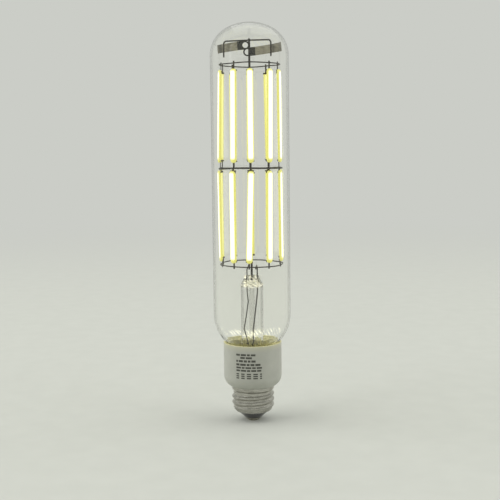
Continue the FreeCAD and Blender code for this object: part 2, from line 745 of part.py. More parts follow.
def make_neck_cement():
    """Cement ring round the glass neck, closed below the flare and open in the middle."""
    neck = "neck_diameter / 2"
    core = "cement_core_diameter / 2"
    flare_foot = f"{NECK_BOTTOM} - stem_wall"
    corners = [
        (core, CEMENT_BASE),
        (COLLAR_BORE, CEMENT_BASE),
        (COLLAR_BORE, CEMENT_TOP),
        (f"{neck} + neck_fillet - sqrt(neck_fillet ^ 2 - cement_rise ^ 2)", CEMENT_TOP),
        (neck, FILLET_FOOT),
        (neck, flare_foot),
        (core, flare_foot),
    ]
    return turned_part("neck_cement", corners, {3: ("neck_fillet", -1)})


def make_screw_shell():
    """Cap shell of rolled sheet: rounded crests and roots, a lip below and a flange above."""
    knuckle = "((thread_pitch / 4) ^ 2 + (thread_depth / 2) ^ 2) / thread_depth"
    middle = f"({THREAD_MINOR} + thread_depth) / 2"
    root = f"{THREAD_MINOR} / 2"
    lip = f"({THREAD_MINOR} / 2 - shell_lip_width)"
    turns = int(round(size("thread_turns")))
    corners = [(lip, "shell_bottom"), (root, FIRST_ROOT)]
    arcs = {1: (knuckle, 1)}
    for turn in range(turns):
        for share in (0.25, 0.75):
            corners.append((middle, f"{FIRST_ROOT} + {turn + share} * thread_pitch"))
        arcs[len(corners) - 2] = (knuckle, -1)
        arcs[len(corners) - 1] = (knuckle, 1)
    corners += [
        (root, LAST_ROOT),
        (root, f"{LAST_ROOT} + thread_land"),
        ("thread_major / 2", FLANGE_FOOT),
        ("thread_major / 2", SHELL_TOP),
        (SHELL_BORE, SHELL_TOP),
        (SHELL_BORE, "shell_bottom + shell_lip_height"),
        (lip, "shell_bottom + shell_lip_height"),
    ]
    return turned_part("screw_shell", corners, arcs)


def make_insulator():
    """Glass insulator: a disc seated on the shell's lip and a cone down to the contact."""
    seat = f"({SHELL_BORE} - seat_clearance)"
    through = f"({THREAD_MINOR} / 2 - shell_lip_width - seat_clearance)"
    hole = "insulator_hole / 2"
    seat_foot = "shell_bottom + shell_lip_height"
    corners = [
        (hole, "contact_thickness"),
        ("contact_diameter / 2", "contact_thickness"),
        (through, "shell_bottom - seat_clearance"),
        (through, seat_foot),
        (seat, seat_foot),
        (seat, f"{seat_foot} + insulator_seat_height"),
        (hole, f"{seat_foot} + insulator_seat_height"),
    ]
    return turned_part("shell_insulator", corners)


def make_centre_contact():
    """Contact disc with a flat face and a bevelled edge."""
    outer = "contact_diameter / 2"
    corners = [
        ("0", "0"), ("contact_flat_diameter / 2", "0"), (outer, "contact_thickness - contact_rim"),
        (outer, "contact_thickness"), ("0", "contact_thickness"),
    ]
    return turned_part("centre_contact", corners)


def make_driver_board():
    """Round circuit board with drilled holes for the leads and the cap wires."""
    body = new_body("driver_board")
    disc = new_sketch(body, "board_disc", "XY_Plane", BOARD_FOOT)
    disc.addGeometry(Part.Circle(Vector(0, 0, 0), Vector(0, 0, 1), size(BOARD_RADIUS)), False)
    disc.addConstraint(Sketcher.Constraint("Coincident", 0, 3, -1, 1))
    disc.addConstraint(Sketcher.Constraint("Radius", 0, size(BOARD_RADIUS)))
    disc.setExpression("Constraints[1]", bound(BOARD_RADIUS))
    pad = body.newObject("PartDesign::Pad", "board_pad")
    pad.Profile = disc
    pad.setExpression("Length", bound("board_thickness"))
    doc.recompute()
    holes = new_sketch(body, "board_holes", "XY_Plane", BOARD_TOP)
    radius = "cap_wire / 2 + seat_clearance"
    places = [
        ("ring_lead_hole_across", "ring_lead_hole_along"),
        ("post_lead_hole_across", "post_lead_hole_along"),
        (SHELL_WIRE_ACROSS, "0"),
        ("contact_wire_across", "contact_wire_along"),
    ]
    for number, (across, along) in enumerate(places):
        centre = Vector(size(across), size(along), 0)
        holes.addGeometry(Part.Circle(centre, Vector(0, 0, 1), size(radius)), False)
        pin_point(holes, number, 3, across, along)
        index = holes.addConstraint(Sketcher.Constraint("Radius", number, size(radius)))
        holes.setExpression(f"Constraints[{index}]", bound(radius))
    doc.recompute()
    drilled = body.newObject("PartDesign::Pocket", "board_drilled")
    drilled.Profile = holes
    drilled.Type = "ThroughAll"
    disc.Visibility = False
    holes.Visibility = False
    doc.recompute()
    return body


def make_cap_wires():
    """Sleeved wires from the board: one to the shell's wall, one through the insulator to the contact."""
    wire = size("cap_wire")
    across = size(SHELL_WIRE_ACROSS)
    wall = size(f"{SHELL_BORE} - cap_wire / 2 - weld_gap")
    shell_points = [
        Vector(across, 0, board_middle()),
        Vector(across, 0, size(f"{SPIGOT_BOTTOM} + shell_wire_turn")),
        Vector(wall, 0, size(f"{SPIGOT_BOTTOM} + shell_wire_turn - shell_wire_drop")),
        Vector(wall, 0, size(f"{SPIGOT_BOTTOM} + shell_wire_turn - shell_wire_drop - shell_wire_weld")),
    ]
    hole = Vector(size("contact_wire_across"), size("contact_wire_along"), 0)
    contact_points = [
        hole + Vector(0, 0, board_middle()),
        hole + Vector(0, 0, size(SPIGOT_BOTTOM)),
        Vector(0, 0, size("shell_bottom + contact_wire_rise")),
        Vector(0, 0, size("contact_thickness")),
    ]
    return [bent_wire("shell_wire", shell_points, wire, size("shell_wire_bend")),
            bent_wire("contact_wire", contact_points, wire, size("contact_wire_bend"))]


def place(item, across, along, up):
    """Binds an item's place to three expressions."""
    for axis, expression in zip("xyz", (across, along, up)):
        item.setExpression(f"Placement.Base.{axis}", bound(expression))
    return item


def make_block(label, name, across, along, up):
    """A box of the sheet's length, width and height for the name."""
    block = doc.addObject("Part::Box", label)
    block.Label = label
    block.setExpression("Length", bound(name + "_length"))
    block.setExpression("Width", bound(name + "_width"))
    block.setExpression("Height", bound(name + "_height"))
    return place(block, across, along, up)


def make_components():
    """Driver parts: tall ones hang under the board into the cap, flat ones sit on top of it."""
    buffer = doc.addObject("Part::Cylinder", "buffer_capacitor")
    buffer.setExpression("Radius", bound("buffer_capacitor_diameter / 2"))
    buffer.setExpression("Height", bound("buffer_capacitor_length"))
    place(buffer, "0", f"{SPIGOT_BORE} - buffer_capacitor_diameter / 2 - component_gap",
          f"{BOARD_FOOT} - buffer_capacitor_length")

    rim = "choke_diameter / 2"
    waist = "choke_waist / 2"
    upper_cheek = "choke_length - choke_cheek"
    choke = turned_part("choke", [
        ("0", "0"), (rim, "0"), (rim, "choke_cheek"), (waist, "choke_cheek"),
        (waist, upper_cheek), (rim, upper_cheek), (rim, "choke_length"), ("0", "choke_length"),
    ])
    place(choke, "choke_across", "choke_along", f"{BOARD_FOOT} - choke_length")

    fuse = doc.addObject("Part::Cylinder", "fusible_resistor")
    fuse.setExpression("Radius", bound("resistor_diameter / 2"))
    fuse.setExpression("Height", bound("resistor_length"))
    fuse.Placement.Rotation = Rotation(Vector(0, 1, 0), 90)
    place(fuse, "-resistor_length / 2", f"{BOARD_RADIUS} - resistor_inset",
          f"{BOARD_TOP} + resistor_diameter / 2")
    return [
        buffer, choke, fuse,
        make_block("film_capacitor", "film_capacitor", "film_capacitor_across", "film_capacitor_along",
                   f"{BOARD_FOOT} - film_capacitor_height"),
        make_block("bridge_rectifier", "rectifier", f"{BOARD_RADIUS} - rectifier_inset_across",
                   f"rectifier_inset_along - {BOARD_RADIUS}", BOARD_TOP),
        make_block("driver_chip", "chip", f"chip_inset_across - {BOARD_RADIUS}",
                   f"chip_inset_along - {BOARD_RADIUS}", BOARD_TOP),
    ]


parts = [make_glass_bulb(), make_stem(), make_exhaust_tube(), make_centre_post()]
parts += [make_ring(name) for name in ("top", "middle", "bottom")]
ring_arm_reach = f"({RINGS['top'][0]} + ring_wire / 2 + arm_wire / 2 + weld_gap)"
parts += [
    make_arm("left_arm", f"{GLASS_BORE} - left_arm_gap", f"{TOP_RING} + arm_foot_gap", "left_arm_turn"),
    make_arm("right_arm", f"{GLASS_BORE} - right_arm_gap", f"{TOP_RING} + arm_foot_gap", "right_arm_turn"),
    make_arm("ring_arm", ring_arm_reach, f"{TOP_RING} - ring_wire", "ring_arm_turn"),
    make_leaf("upper_leaf", True),
    make_leaf("lower_leaf", False),
    make_ring_lead(),
    make_post_lead(),
]
parts += make_tier({
    "name": "upper", "rings": ("middle", "top"), "foot_gap": "upper_foot_gap", "turns": UPPER_TURNS,
    "high_pin": "upper_head_gap + top_pin_overrun", "low_pin": "upper_foot_gap - pin_parting / 2"})
parts += make_tier({
    "name": "lower", "rings": ("bottom", "middle"), "foot_gap": "lower_foot_gap", "turns": LOWER_TURNS,
    "high_pin": "lower_head_gap - pin_parting / 2", "low_pin": "lower_foot_gap + bottom_pin_overrun"})
parts += [make_collar(), make_neck_cement(), make_driver_board(), make_screw_shell(),
          make_insulator(), make_centre_contact()]
parts += make_cap_wires()
parts += make_components()
doc.recompute()

for item in doc.Objects:
    if "Invalid" in item.State or "Error" in item.State:
        raise RuntimeError(f"{item.Label} failed: {item.State}")
os.makedirs("parts", exist_ok=True)
for part in parts:
    if part.Shape.isNull() or not part.Shape.isValid():
        raise RuntimeError(f"{part.Label} has no sound shape")
for part in parts:
    part.Shape.exportStep(f"parts/{part.Label}.step")
print(f"{len(parts)} parts written")
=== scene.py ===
"""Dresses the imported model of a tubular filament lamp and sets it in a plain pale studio.

The frame is the model's own: metres, the lamp's axis along Z, the cap's contact at z = 0 and the
front towards -Y. The glass, the stem, the glowing strips, the rings, the leaf springs, the collar and
the threaded cap are modelled here again as finer meshes; the other nodes keep their solids.
"""

from dataclasses import dataclass, field
from enum import Enum
import logging
import math

import bmesh
import bpy
from mathutils import Euler, Matrix, Vector


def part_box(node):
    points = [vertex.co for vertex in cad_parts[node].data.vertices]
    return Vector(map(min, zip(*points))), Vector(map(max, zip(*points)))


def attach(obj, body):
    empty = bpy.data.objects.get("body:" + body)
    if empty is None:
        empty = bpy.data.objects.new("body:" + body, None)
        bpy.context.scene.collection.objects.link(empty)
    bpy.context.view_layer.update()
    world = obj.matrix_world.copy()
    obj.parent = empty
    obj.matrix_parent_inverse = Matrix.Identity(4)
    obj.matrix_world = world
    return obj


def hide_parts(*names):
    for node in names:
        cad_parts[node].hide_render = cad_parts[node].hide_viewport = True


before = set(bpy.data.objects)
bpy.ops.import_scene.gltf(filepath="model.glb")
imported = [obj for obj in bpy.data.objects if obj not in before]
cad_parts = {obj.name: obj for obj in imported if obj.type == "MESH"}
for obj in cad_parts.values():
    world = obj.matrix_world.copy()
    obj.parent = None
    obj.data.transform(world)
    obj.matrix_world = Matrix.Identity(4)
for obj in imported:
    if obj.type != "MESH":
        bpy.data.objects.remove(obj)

LOG = logging.getLogger("tubular_lamp")
MM = 0.001
BODY = "root"
UP = Vector((0.0, 0.0, 1.0))
FLAT = (1.0, 1.0, 0.0)
BLACK = (0.0, 0.0, 0.0, 1.0)
CLOUD_SPAN = (0.32, 0.68)
GRAIN_SPAN = (0.3, 0.7)
GRAIN_FINENESS = 6.0
DOME_ANGLES = (30.0, 60.0, 84.0)

Point2 = tuple[float, float]
Point3 = tuple[float, float, float]
Colour = tuple[int, int, int]
Socket = bpy.types.NodeSocket
Faces = list[tuple[int, ...]]
Lump = tuple[list[Vector], Faces]
Route = list[tuple[float, Vector]]


class Slot(Enum):
    """The record's material slots."""

    GLASS = "clear_glass"
    STEM = "stem_glass"
    WIRE = "nickel_wire"
    SPRING = "spring_strip"
    COAT = "filament_coat"
    TERMINAL = "terminal_plate"
    COLLAR = "collar_plastic"
    CEMENT = "neck_cement"
    BOARD = "board_laminate"
    SHELL = "cap_shell"
    INSULATOR = "cap_insulator"
    CONTACT = "cap_contact"
    SLEEVE = "wire_sleeve"
    CAN = "capacitor_can"
    CHOKE = "choke_core"
    FILM = "capacitor_film"
    CHIP = "chip_plastic"
    RESISTOR = "resistor_body"


class Tier(Enum):
    """The two storeys of glowing strips."""

    UPPER = "upper"
    LOWER = "lower"


def linear(colour: Colour) -> tuple[float, float, float, float]:
    """Returns a screen colour of 0 to 255 as the renderer's linear one, with an alpha of 1."""
    shares = [level / 255.0 for level in colour]
    return tuple(s / 12.92 if s <= 0.04045 else ((s + 0.055) / 1.055) ** 2.4 for s in shares) + (1.0,)


def eased(share: float) -> float:
    """Returns a share from 0 to 1 with a soft start and end."""
    return share * share * (3 - 2 * share)


def part_way(start: float, end: float, share: float) -> float:
    """Returns the value at a share of the way from start to end."""
    return start + (end - start) * share


def share_of(value: float, start: float, end: float) -> float:
    """Returns 0 up to start, 1 from end on and an even rise between them."""
    return min(max((value - start) / (end - start), 0.0), 1.0)


def between(start: float, end: float, steps: int) -> list[float]:
    """Returns the values that cut a span into even steps, without its ends."""
    return [part_way(start, end, step / steps) for step in range(1, steps)]


@dataclass
class Nodes:
    """A short way to write a node tree."""

    tree: bpy.types.NodeTree

    def add(self, kind: str, inputs: dict | None = None, **settings: object) -> bpy.types.Node:
        """Adds a node.

        Args:
            kind: the node's type without its ShaderNode prefix.
            inputs: values or sockets by input name or number.
            settings: the node's own properties.

        Returns:
            The new node.
        """
        node = self.tree.nodes.new(kind if kind.startswith("Node") else "ShaderNode" + kind)
        for name, value in settings.items():
            setattr(node, name, value)
        for name, value in (inputs or {}).items():
            if isinstance(value, Socket):
                self.tree.links.new(value, node.inputs[name])
            else:
                node.inputs[name].default_value = value
        return node

    def out(self, kind: str, inputs: dict, **settings: object) -> Socket:
        """Adds a node as add does and returns its first output."""
        return self.add(kind, inputs, **settings).outputs[0]

    def reckon(self, operation: str, first: object, second: object) -> Socket:
        """Returns the result of an operation on two values or sockets."""
        return self.out("Math", {0: first, 1: second}, operation=operation)

    def span(self, value: Socket, start: float, end: float, top: float = 1.0,
             way: str = "LINEAR") -> Socket:
        """Returns a value mapped so that start gives 0 and end gives top, clamped to that range."""
        return self.out("MapRange", {"Value": value, "From Min": start, "From Max": end, "To Max": top},
                        interpolation_type=way)

    def stretched(self, factors: object) -> Socket:
        """Returns the place on the object with its three parts multiplied."""
        place = self.add("TexCoord").outputs["Object"]
        return self.out("VectorMath", {0: place, 1: factors}, operation="MULTIPLY")

    def length(self, vector: Socket) -> Socket:
        """Returns a vector's length."""
        return self.add("VectorMath", {0: vector}, operation="LENGTH").outputs["Value"]

    def blend(self, share: Socket, first: object, second: object) -> Socket:
        """Returns a colour that is the first where the share is 0 and the second where it is 1."""
        return self.add("Mix", {0: share, 6: first, 7: second}, data_type="RGBA").outputs[2]

    def noise(self, vector: Socket, scale: object, detail: float) -> Socket:
        """Returns the strength of a cloudy noise."""
        return self.out("TexNoise", {"Vector": vector, "Scale": scale, "Detail": detail})


def surface_group() -> bpy.types.NodeTree:
    """Builds the mottle that most finishes share: cloudy colour, cloudy roughness and fine height.

    Returns:
        The node group.
    """
    tree = bpy.data.node_groups.new("mottled_surface", "ShaderNodeTree")
    for side, name, kind in (
            ("INPUT", "Light", "Color"), ("INPUT", "Dark", "Color"), ("INPUT", "Scale", "Float"),
            ("INPUT", "Stretch", "Vector"), ("INPUT", "Smooth", "Float"), ("INPUT", "Rough", "Float"),
            ("OUTPUT", "Color", "Color"), ("OUTPUT", "Roughness", "Float"),
            ("OUTPUT", "Height", "Float")):
        tree.interface.new_socket(name, in_out=side, socket_type="NodeSocket" + kind)
    make = Nodes(tree)
    given = make.add("NodeGroupInput").outputs
    stretched = make.stretched(given["Stretch"])
    shade = make.span(make.noise(stretched, given["Scale"], 4.0), *CLOUD_SPAN)
    fine = make.noise(stretched, make.reckon("MULTIPLY", given["Scale"], GRAIN_FINENESS), 3.0)
    rough = make.out("MapRange", {"Value": fine, "From Min": GRAIN_SPAN[0], "From Max": GRAIN_SPAN[1],
                                  "To Min": given["Smooth"], "To Max": given["Rough"]})
    make.add("NodeGroupOutput", {"Color": make.blend(shade, given["Dark"], given["Light"]),
                                 "Roughness": rough, "Height": fine})
    return tree


MOTTLE = surface_group()


def blank_material(name: str) -> tuple[bpy.types.Material, Nodes]:
    """Starts a material with no nodes.

    Args:
        name: what it is the finish of.

    Returns:
        The material and its nodes.
    """
    material = bpy.data.materials.new(name + "_finish")
    material.use_nodes = True
    material.node_tree.nodes.clear()
    return material, Nodes(material.node_tree)


@dataclass(frozen=True)
class Finish:
    """A solid, opaque finish: metal, plastic, ceramic or lacquer.

    The masked colour shows where the mask attribute is 1, or else past the outwards radii.
    """

    slot: Slot
    light: Colour
    dark: Colour
    smooth: float
    rough: float
    metallic: float = 0.0
    scale: float = 300.0
    stretch: Point3 = (1.0, 1.0, 1.0)
    bump: float = 0.15
    depth: float = 0.00004
    coat: float = 0.0
    mask: str = ""
    masked: Colour = (0, 0, 0)
    outwards: Point2 | None = None

    def build(self) -> bpy.types.Material:
        """Makes the material.

        Returns:
            The material, named after the slot.
        """
        material, make = blank_material(self.slot.value)
        mottle = make.add("Group", {
            "Light": linear(self.light), "Dark": linear(self.dark), "Scale": self.scale,
            "Stretch": self.stretch, "Smooth": self.smooth, "Rough": self.rough}, node_tree=MOTTLE).outputs
        bump = make.out("Bump", {"Strength": self.bump, "Distance": self.depth,
                                 "Height": mottle["Height"]})
        colour, share = mottle["Color"], None
        if self.mask:
            share = make.add("Attribute", attribute_name=self.mask).outputs["Fac"]
        elif self.outwards:
            share = make.span(make.length(make.stretched(FLAT)), *self.outwards)
        if share is not None:
            # on the collar and the cement the masked colour is painted lamp light; on the spring it is
            # heat tint and painted shade
            colour = make.blend(share, colour, linear(self.masked))
        make.add("OutputMaterial", {"Surface": make.out("BsdfPrincipled", {
            "Base Color": colour, "Roughness": mottle["Roughness"], "Normal": bump,
            "Metallic": self.metallic, "Coat Weight": self.coat})})
        return material


@dataclass(frozen=True)
class GlassFinish:
    """Clear glass with a painted shade, a little darker where it turns away from the eye, and open to
    light and shadow rays.

    Where it was melted shut, at the neck's seal and in the stem's pinch, it is rippled and a little
    clouded, and it has painted glints: bright lines that the glass gives off itself, for the strips'
    light.
    """

    slot: Slot
    edge: Colour
    edge_shade_span: Point2
    painted_glint_strength: float
    glint_top: float = 58.0 * MM
    glint_side: Point2 = (1.0, 0.5)
    seal_glint: float = 1.0
    pinch_foot: float = 1.0
    pinch_cloud: float = 0.0
    face: Colour = (254, 254, 252)
    passed: Colour = (250, 250, 248)
    ior: float = 1.5
    streaks: float = 0.06
    streak_depth: float = 0.00003
    streak_scale: float = 160.0
    streak_stretch: Point3 = (1.0, 1.0, 0.06)
    seal_top: float = 58.0 * MM
    seal_fade: float = 7.0 * MM
    seal_ripple: float = 0.6
    ripple_depth: float = 0.0008
    ripple_scale: float = 210.0
    pinch_fade: float = 2.0 * MM
    glint: Colour = (255, 249, 214)
    glint_span: Point2 = (0.37, 0.55)
    patch_scale: float = 330.0
    line_scale: float = 210.0

    def build(self) -> bpy.types.Material:
        """Makes the material.

        Returns:
            The material, named after the slot.
        """
        material, make = blank_material(self.slot.value)
        turned_away = make.add("LayerWeight", {"Blend": 0.5}).outputs["Facing"]
        # painted shade: the edge colour stands in for the dark reflections at a glass edge
        tint = make.blend(make.span(turned_away, *self.edge_shade_span), linear(self.face), linear(self.edge))
        place = make.add("TexCoord").outputs["Object"]
        drawn = make.noise(make.stretched(self.streak_stretch), self.streak_scale, 1.0)
        streaks = make.out("Bump", {"Strength": self.streaks, "Distance": self.streak_depth,
                                    "Height": drawn})
        height = make.add("SeparateXYZ", {0: place}).outputs["Z"]
        near_seal = make.span(height, self.seal_top, self.seal_top - self.seal_fade, way="SMOOTHSTEP")
        near_pinch = make.span(height, self.pinch_foot, self.pinch_foot + self.pinch_fade,
                               way="SMOOTHSTEP")
        molten = make.reckon("MULTIPLY", make.noise(place, self.ripple_scale, 1.0),
                             make.reckon("MAXIMUM", near_seal, near_pinch))
        bump = make.out("Bump", {"Strength": self.seal_ripple, "Distance": self.ripple_depth,
                                 "Height": molten, "Normal": streaks})
        glass = make.out("BsdfPrincipled", {
            "Base Color": tint, "Roughness": make.reckon("MULTIPLY", near_pinch, self.pinch_cloud),
            "IOR": self.ior, "Transmission Weight": 1.0, "Normal": bump,
            # emission: painted glints, standing in for the strips' light sparkling in the melted glass
            "Emission Color": self.painted_glints(make, place, near_pinch),
            "Emission Strength": self.painted_glint_strength})
        path = make.add("LightPath").outputs
        passing = make.reckon("MAXIMUM", path["Is Shadow Ray"], path["Is Diffuse Ray"])
        clear = make.out("BsdfTransparent", {"Color": linear(self.passed)})
        make.add("OutputMaterial", {"Surface": make.out("MixShader", {0: passing, 1: glass, 2: clear})})
        return material

    def painted_glints(self, make: Nodes, place: Socket, near_pinch: Socket) -> Socket:
        """Adds the painted glints: short bright lines, given off by the glass itself, in the pinch and in
        a band of the neck.

        Args:
            make: the material's nodes.
            place: the place on the object.
            near_pinch: 1 in the pinch and 0 elsewhere.

        Returns:
            The painted glints' colour, black where there are none.
        """
        apart = make.add("SeparateXYZ", {0: place}).outputs
        lines = make.add("TexWave", {"Vector": place, "Scale": self.line_scale, "Distortion": 5.0,
                                     "Detail": 1.0}, bands_direction="DIAGONAL").outputs["Fac"]
        patches = make.reckon("MULTIPLY", make.noise(place, self.patch_scale, 2.0), lines)
        below = make.span(apart["Z"], self.glint_top, self.glint_top - self.seal_fade, way="SMOOTHSTEP")
        band = make.reckon("MULTIPLY", below, make.reckon("SUBTRACT", 1.0, below))
        side = make.span(apart["Y"], *self.glint_side, top=4 * self.seal_glint)
        lively = make.reckon("MAXIMUM", make.reckon("MULTIPLY", band, side), near_pinch)
        spark = make.reckon("MULTIPLY", make.span(patches, *self.glint_span), lively)
        return make.blend(spark, BLACK, linear(self.glint))


@dataclass(frozen=True)
class GlowFinish:
    """The lit phosphor coat: white over the chips, yellow at its sides and ends."""

    slot: Slot
    core: Colour = (255, 255, 246)
    rim: Colour = (120, 118, 54)
    base: Colour = (234, 230, 126)
    span: Point2 = (0.08, 0.8)
    roughness: float = 0.45
    strength: float = 1.2

    def build(self) -> bpy.types.Material:
        """Makes the material.

        Returns:
            The material, named after the slot.
        """
        material, make = blank_material(self.slot.value)
        glow = make.add("Attribute", attribute_name="glow").outputs["Fac"]
        colour = make.blend(make.span(glow, *self.span), linear(self.rim), linear(self.core))
        make.add("OutputMaterial", {"Surface": make.out("BsdfPrincipled", {
            "Base Color": linear(self.base), "Roughness": self.roughness, "Emission Color": colour,
            "Emission Strength": self.strength})})
        return material


FINISHES = (
    # glass finishes: the second colour is a painted edge shade, and the strength after the span drives the
    # painted glints
    GlassFinish(Slot.GLASS, (92, 96, 86), (0.68, 0.95), 0.34, glint_top=63.0 * MM,
                glint_side=(-11.0 * MM, -15.0 * MM)),
    GlassFinish(Slot.STEM, (56, 59, 46), (0.45, 0.88), 0.62, seal_glint=0.5, pinch_foot=84.0 * MM,
                pinch_cloud=0.3),
    Finish(Slot.WIRE, (48, 39, 10), (26, 20, 4), 0.36, 0.54, metallic=0.8, scale=900.0),
    # spring: its masked dark grey is heat tint and painted shade on the welded flat, painted shade on the
    # outer part and the curl
    Finish(Slot.SPRING, (176, 171, 152), (128, 123, 107), 0.3, 0.46, metallic=0.85, scale=420.0,
           stretch=(1.0, 1.0, 6.0), mask="heat_tint_and_painted_shade", masked=(48, 47, 36)),
    GlowFinish(Slot.COAT),
    Finish(Slot.TERMINAL, (64, 53, 18), (36, 29, 9), 0.35, 0.55, metallic=0.8, scale=1200.0),
    # collar: its masked cream is painted lamp light on the rim
    Finish(Slot.COLLAR, (174, 175, 165), (164, 165, 155), 0.34, 0.46, scale=90.0, bump=0.08,
           mask="painted_rim_light", masked=(216, 211, 160)),
    # neck cement: its dark gold is painted shade and yellow lamp light over a cream cement; the cream band
    # past the outwards radii, by the rim, is painted lamp light
    Finish(Slot.CEMENT, (166, 155, 24), (98, 88, 4), 0.45, 0.7, scale=330.0, bump=0.8, depth=0.0006,
           masked=(226, 220, 166), outwards=(14.4 * MM, 15.7 * MM)),
    Finish(Slot.BOARD, (70, 122, 84), (48, 96, 62), 0.3, 0.45, scale=500.0),
    Finish(Slot.SHELL, (196, 194, 186), (158, 156, 148), 0.22, 0.4, metallic=0.95, scale=260.0,
           stretch=(1.0, 1.0, 5.0)),
    Finish(Slot.INSULATOR, (38, 36, 40), (22, 21, 24), 0.1, 0.2, scale=300.0, coat=0.6),
    Finish(Slot.CONTACT, (190, 186, 172), (142, 138, 124), 0.25, 0.5, metallic=0.9, scale=500.0),
    Finish(Slot.SLEEVE, (222, 220, 214), (204, 202, 194), 0.35, 0.5, scale=600.0),
    Finish(Slot.CAN, (44, 50, 74), (30, 34, 54), 0.25, 0.4, scale=400.0, coat=0.3),
    Finish(Slot.CHOKE, (72, 68, 66), (50, 46, 44), 0.4, 0.6, scale=700.0),
    Finish(Slot.FILM, (196, 150, 60), (170, 120, 44), 0.3, 0.45, scale=500.0),
    Finish(Slot.CHIP, (48, 48, 50), (34, 34, 36), 0.4, 0.6, scale=900.0),
    Finish(Slot.RESISTOR, (120, 150, 168), (96, 128, 148), 0.35, 0.5, scale=800.0),
)
WARDROBE = {finish.slot: finish.build() for finish in FINISHES}
INK = Finish(Slot.COLLAR, (74, 75, 68), (66, 67, 60), 0.5, 0.6, scale=150.0, bump=0.02).build()
INK.name = "collar_print_finish"


def keep(piece: bpy.types.Object, slot: Slot, *nodes: str,
         material: bpy.types.Material | None = None) -> None:
    """Dresses a new piece and fixes it to the lamp.

    Args:
        piece: the new object.
        slot: the record's slot that it takes its finish from.
        nodes: the solids that it stands for.
        material: a finish other than the slot's own.
    """
    piece.data.materials.clear()
    piece.data.materials.append(material or WARDROBE[slot])
    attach(piece, BODY)
    if nodes:
        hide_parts(*nodes)
    LOG.info("%s: %d faces, stands for %s", piece.name, len(piece.data.polygons),
             ", ".join(nodes) or "nothing")


def mesh_object(name: str, points: list[Vector], faces: Faces, crease: float = 40.0) -> bpy.types.Object:
    """Makes a mesh object with smooth shading and creases at sharp edges.

    Args:
        name: the object's name.
        points: the vertices, in metres.
        faces: the faces as vertex numbers.
        crease: the angle in degrees from which an edge stays sharp.

    Returns:
        The object, linked to the scene.
    """
    mesh = bpy.data.meshes.new(name)
    mesh.from_pydata([tuple(point) for point in points], [], faces)
    mesh.update()
    shape = bmesh.new()
    shape.from_mesh(mesh)
    bmesh.ops.recalc_face_normals(shape, faces=shape.faces)
    shape.to_mesh(mesh)
    shape.free()
    mesh.shade_smooth()
    mesh.set_sharp_from_angle(angle=math.radians(crease))
    piece = bpy.data.objects.new(name, mesh)
    bpy.context.scene.collection.objects.link(piece)
    return piece


def paint(piece: bpy.types.Object, name: str, values: list[float]) -> None:
    """Stores a value at each vertex, under the name that a finish reads."""
    piece.data.attributes.new(name, "FLOAT", "POINT").data.foreach_set("value", values)


def thicken(piece: bpy.types.Object, thickness: float, offset: float) -> None:
    """Gives a sheet its thickness: inwards for an offset of -1, to both sides for 0."""
    sheet = piece.modifiers.new("sheet", "SOLIDIFY")
    sheet.thickness, sheet.offset = thickness, offset


def arc(centre: Point2, radius: float, start: float, end: float, steps: int) -> list[Point2]:
    """Returns steps + 1 points of an arc, from the start angle to the end angle in degrees."""
    angles = [math.radians(start + (end - start) * step / steps) for step in range(steps + 1)]
    return [(centre[0] + radius * math.cos(a), centre[1] + radius * math.sin(a)) for a in angles]


def round_angles(sides: int) -> list[float]:
    """Returns evenly spread angles once round, in radians."""
    return [2 * math.pi * side / sides for side in range(sides)]


def upright(section: list[Point2]) -> list[Point3]:
    """Returns a round section's points, radius and height, as levels for ringed."""
    return [(radius, radius, height) for radius, height in section]


def ringed(levels: list[Point3], sides: int) -> tuple[list[Vector], list[list[int]]]:
    """Sets an upright stack of rings, or single points where a ring has no width.

    Args:
        levels: each ring's half-width along X, half-depth along Y and height.
        sides: points in a ring.

    Returns:
        The points and each ring's vertex numbers.
    """
    points: list[Vector] = []
    rows: list[list[int]] = []
    for wide, deep, height in levels:
        if wide == 0.0:
            rows.append([len(points)] * sides)
            points.append(Vector((0.0, 0.0, height)))
            continue
        rows.append(list(range(len(points), len(points) + sides)))
        points += [Vector((wide * math.cos(a), deep * math.sin(a), height)) for a in round_angles(sides)]
    return points, rows


def skin(rows: list[list[int]], looped: bool = False) -> Faces:
    """Joins each ring of vertices to the next.

    Args:
        rows: the rings' vertex numbers, all of one length; a ring of one repeated number is a point.
        looped: whether the last ring joins the first.

    Returns:
        The faces.
    """
    faces: Faces = []
    for low, high in zip(rows, rows[1:] + rows[:int(looped)]):
        for step in range(len(low)):
            after = (step + 1) % len(low)
            corners = tuple(dict.fromkeys((low[step], low[after], high[after], high[step])))
            if len(corners) > 2:
                faces.append(corners)
    return faces


def capped(rows: list[list[int]]) -> Faces:
    """Joins rings as skin does and closes both ends."""
    return skin(rows) + [tuple(rows[0]), tuple(rows[-1])]


def counted(first: int, count: int, width: int) -> list[list[int]]:
    """Returns rows of running vertex numbers."""
    return [list(range(first + row * width, first + (row + 1) * width)) for row in range(count)]


def turned(name: str, section: list[Point2], sides: int = 128, crease: float = 40.0,
           closed: bool = True) -> bpy.types.Object:
    """Turns a half-section of radius and height about Z; closed joins its last point to its first."""
    points, rows = ringed(upright(section), sides)
    return mesh_object(name, points, skin(rows, closed), crease)


def middle(corners: list[Vector]) -> Vector:
    """Returns the middle of the corners' spans."""
    return Vector([(min(c[i] for c in corners) + max(c[i] for c in corners)) / 2 for i in range(3)])


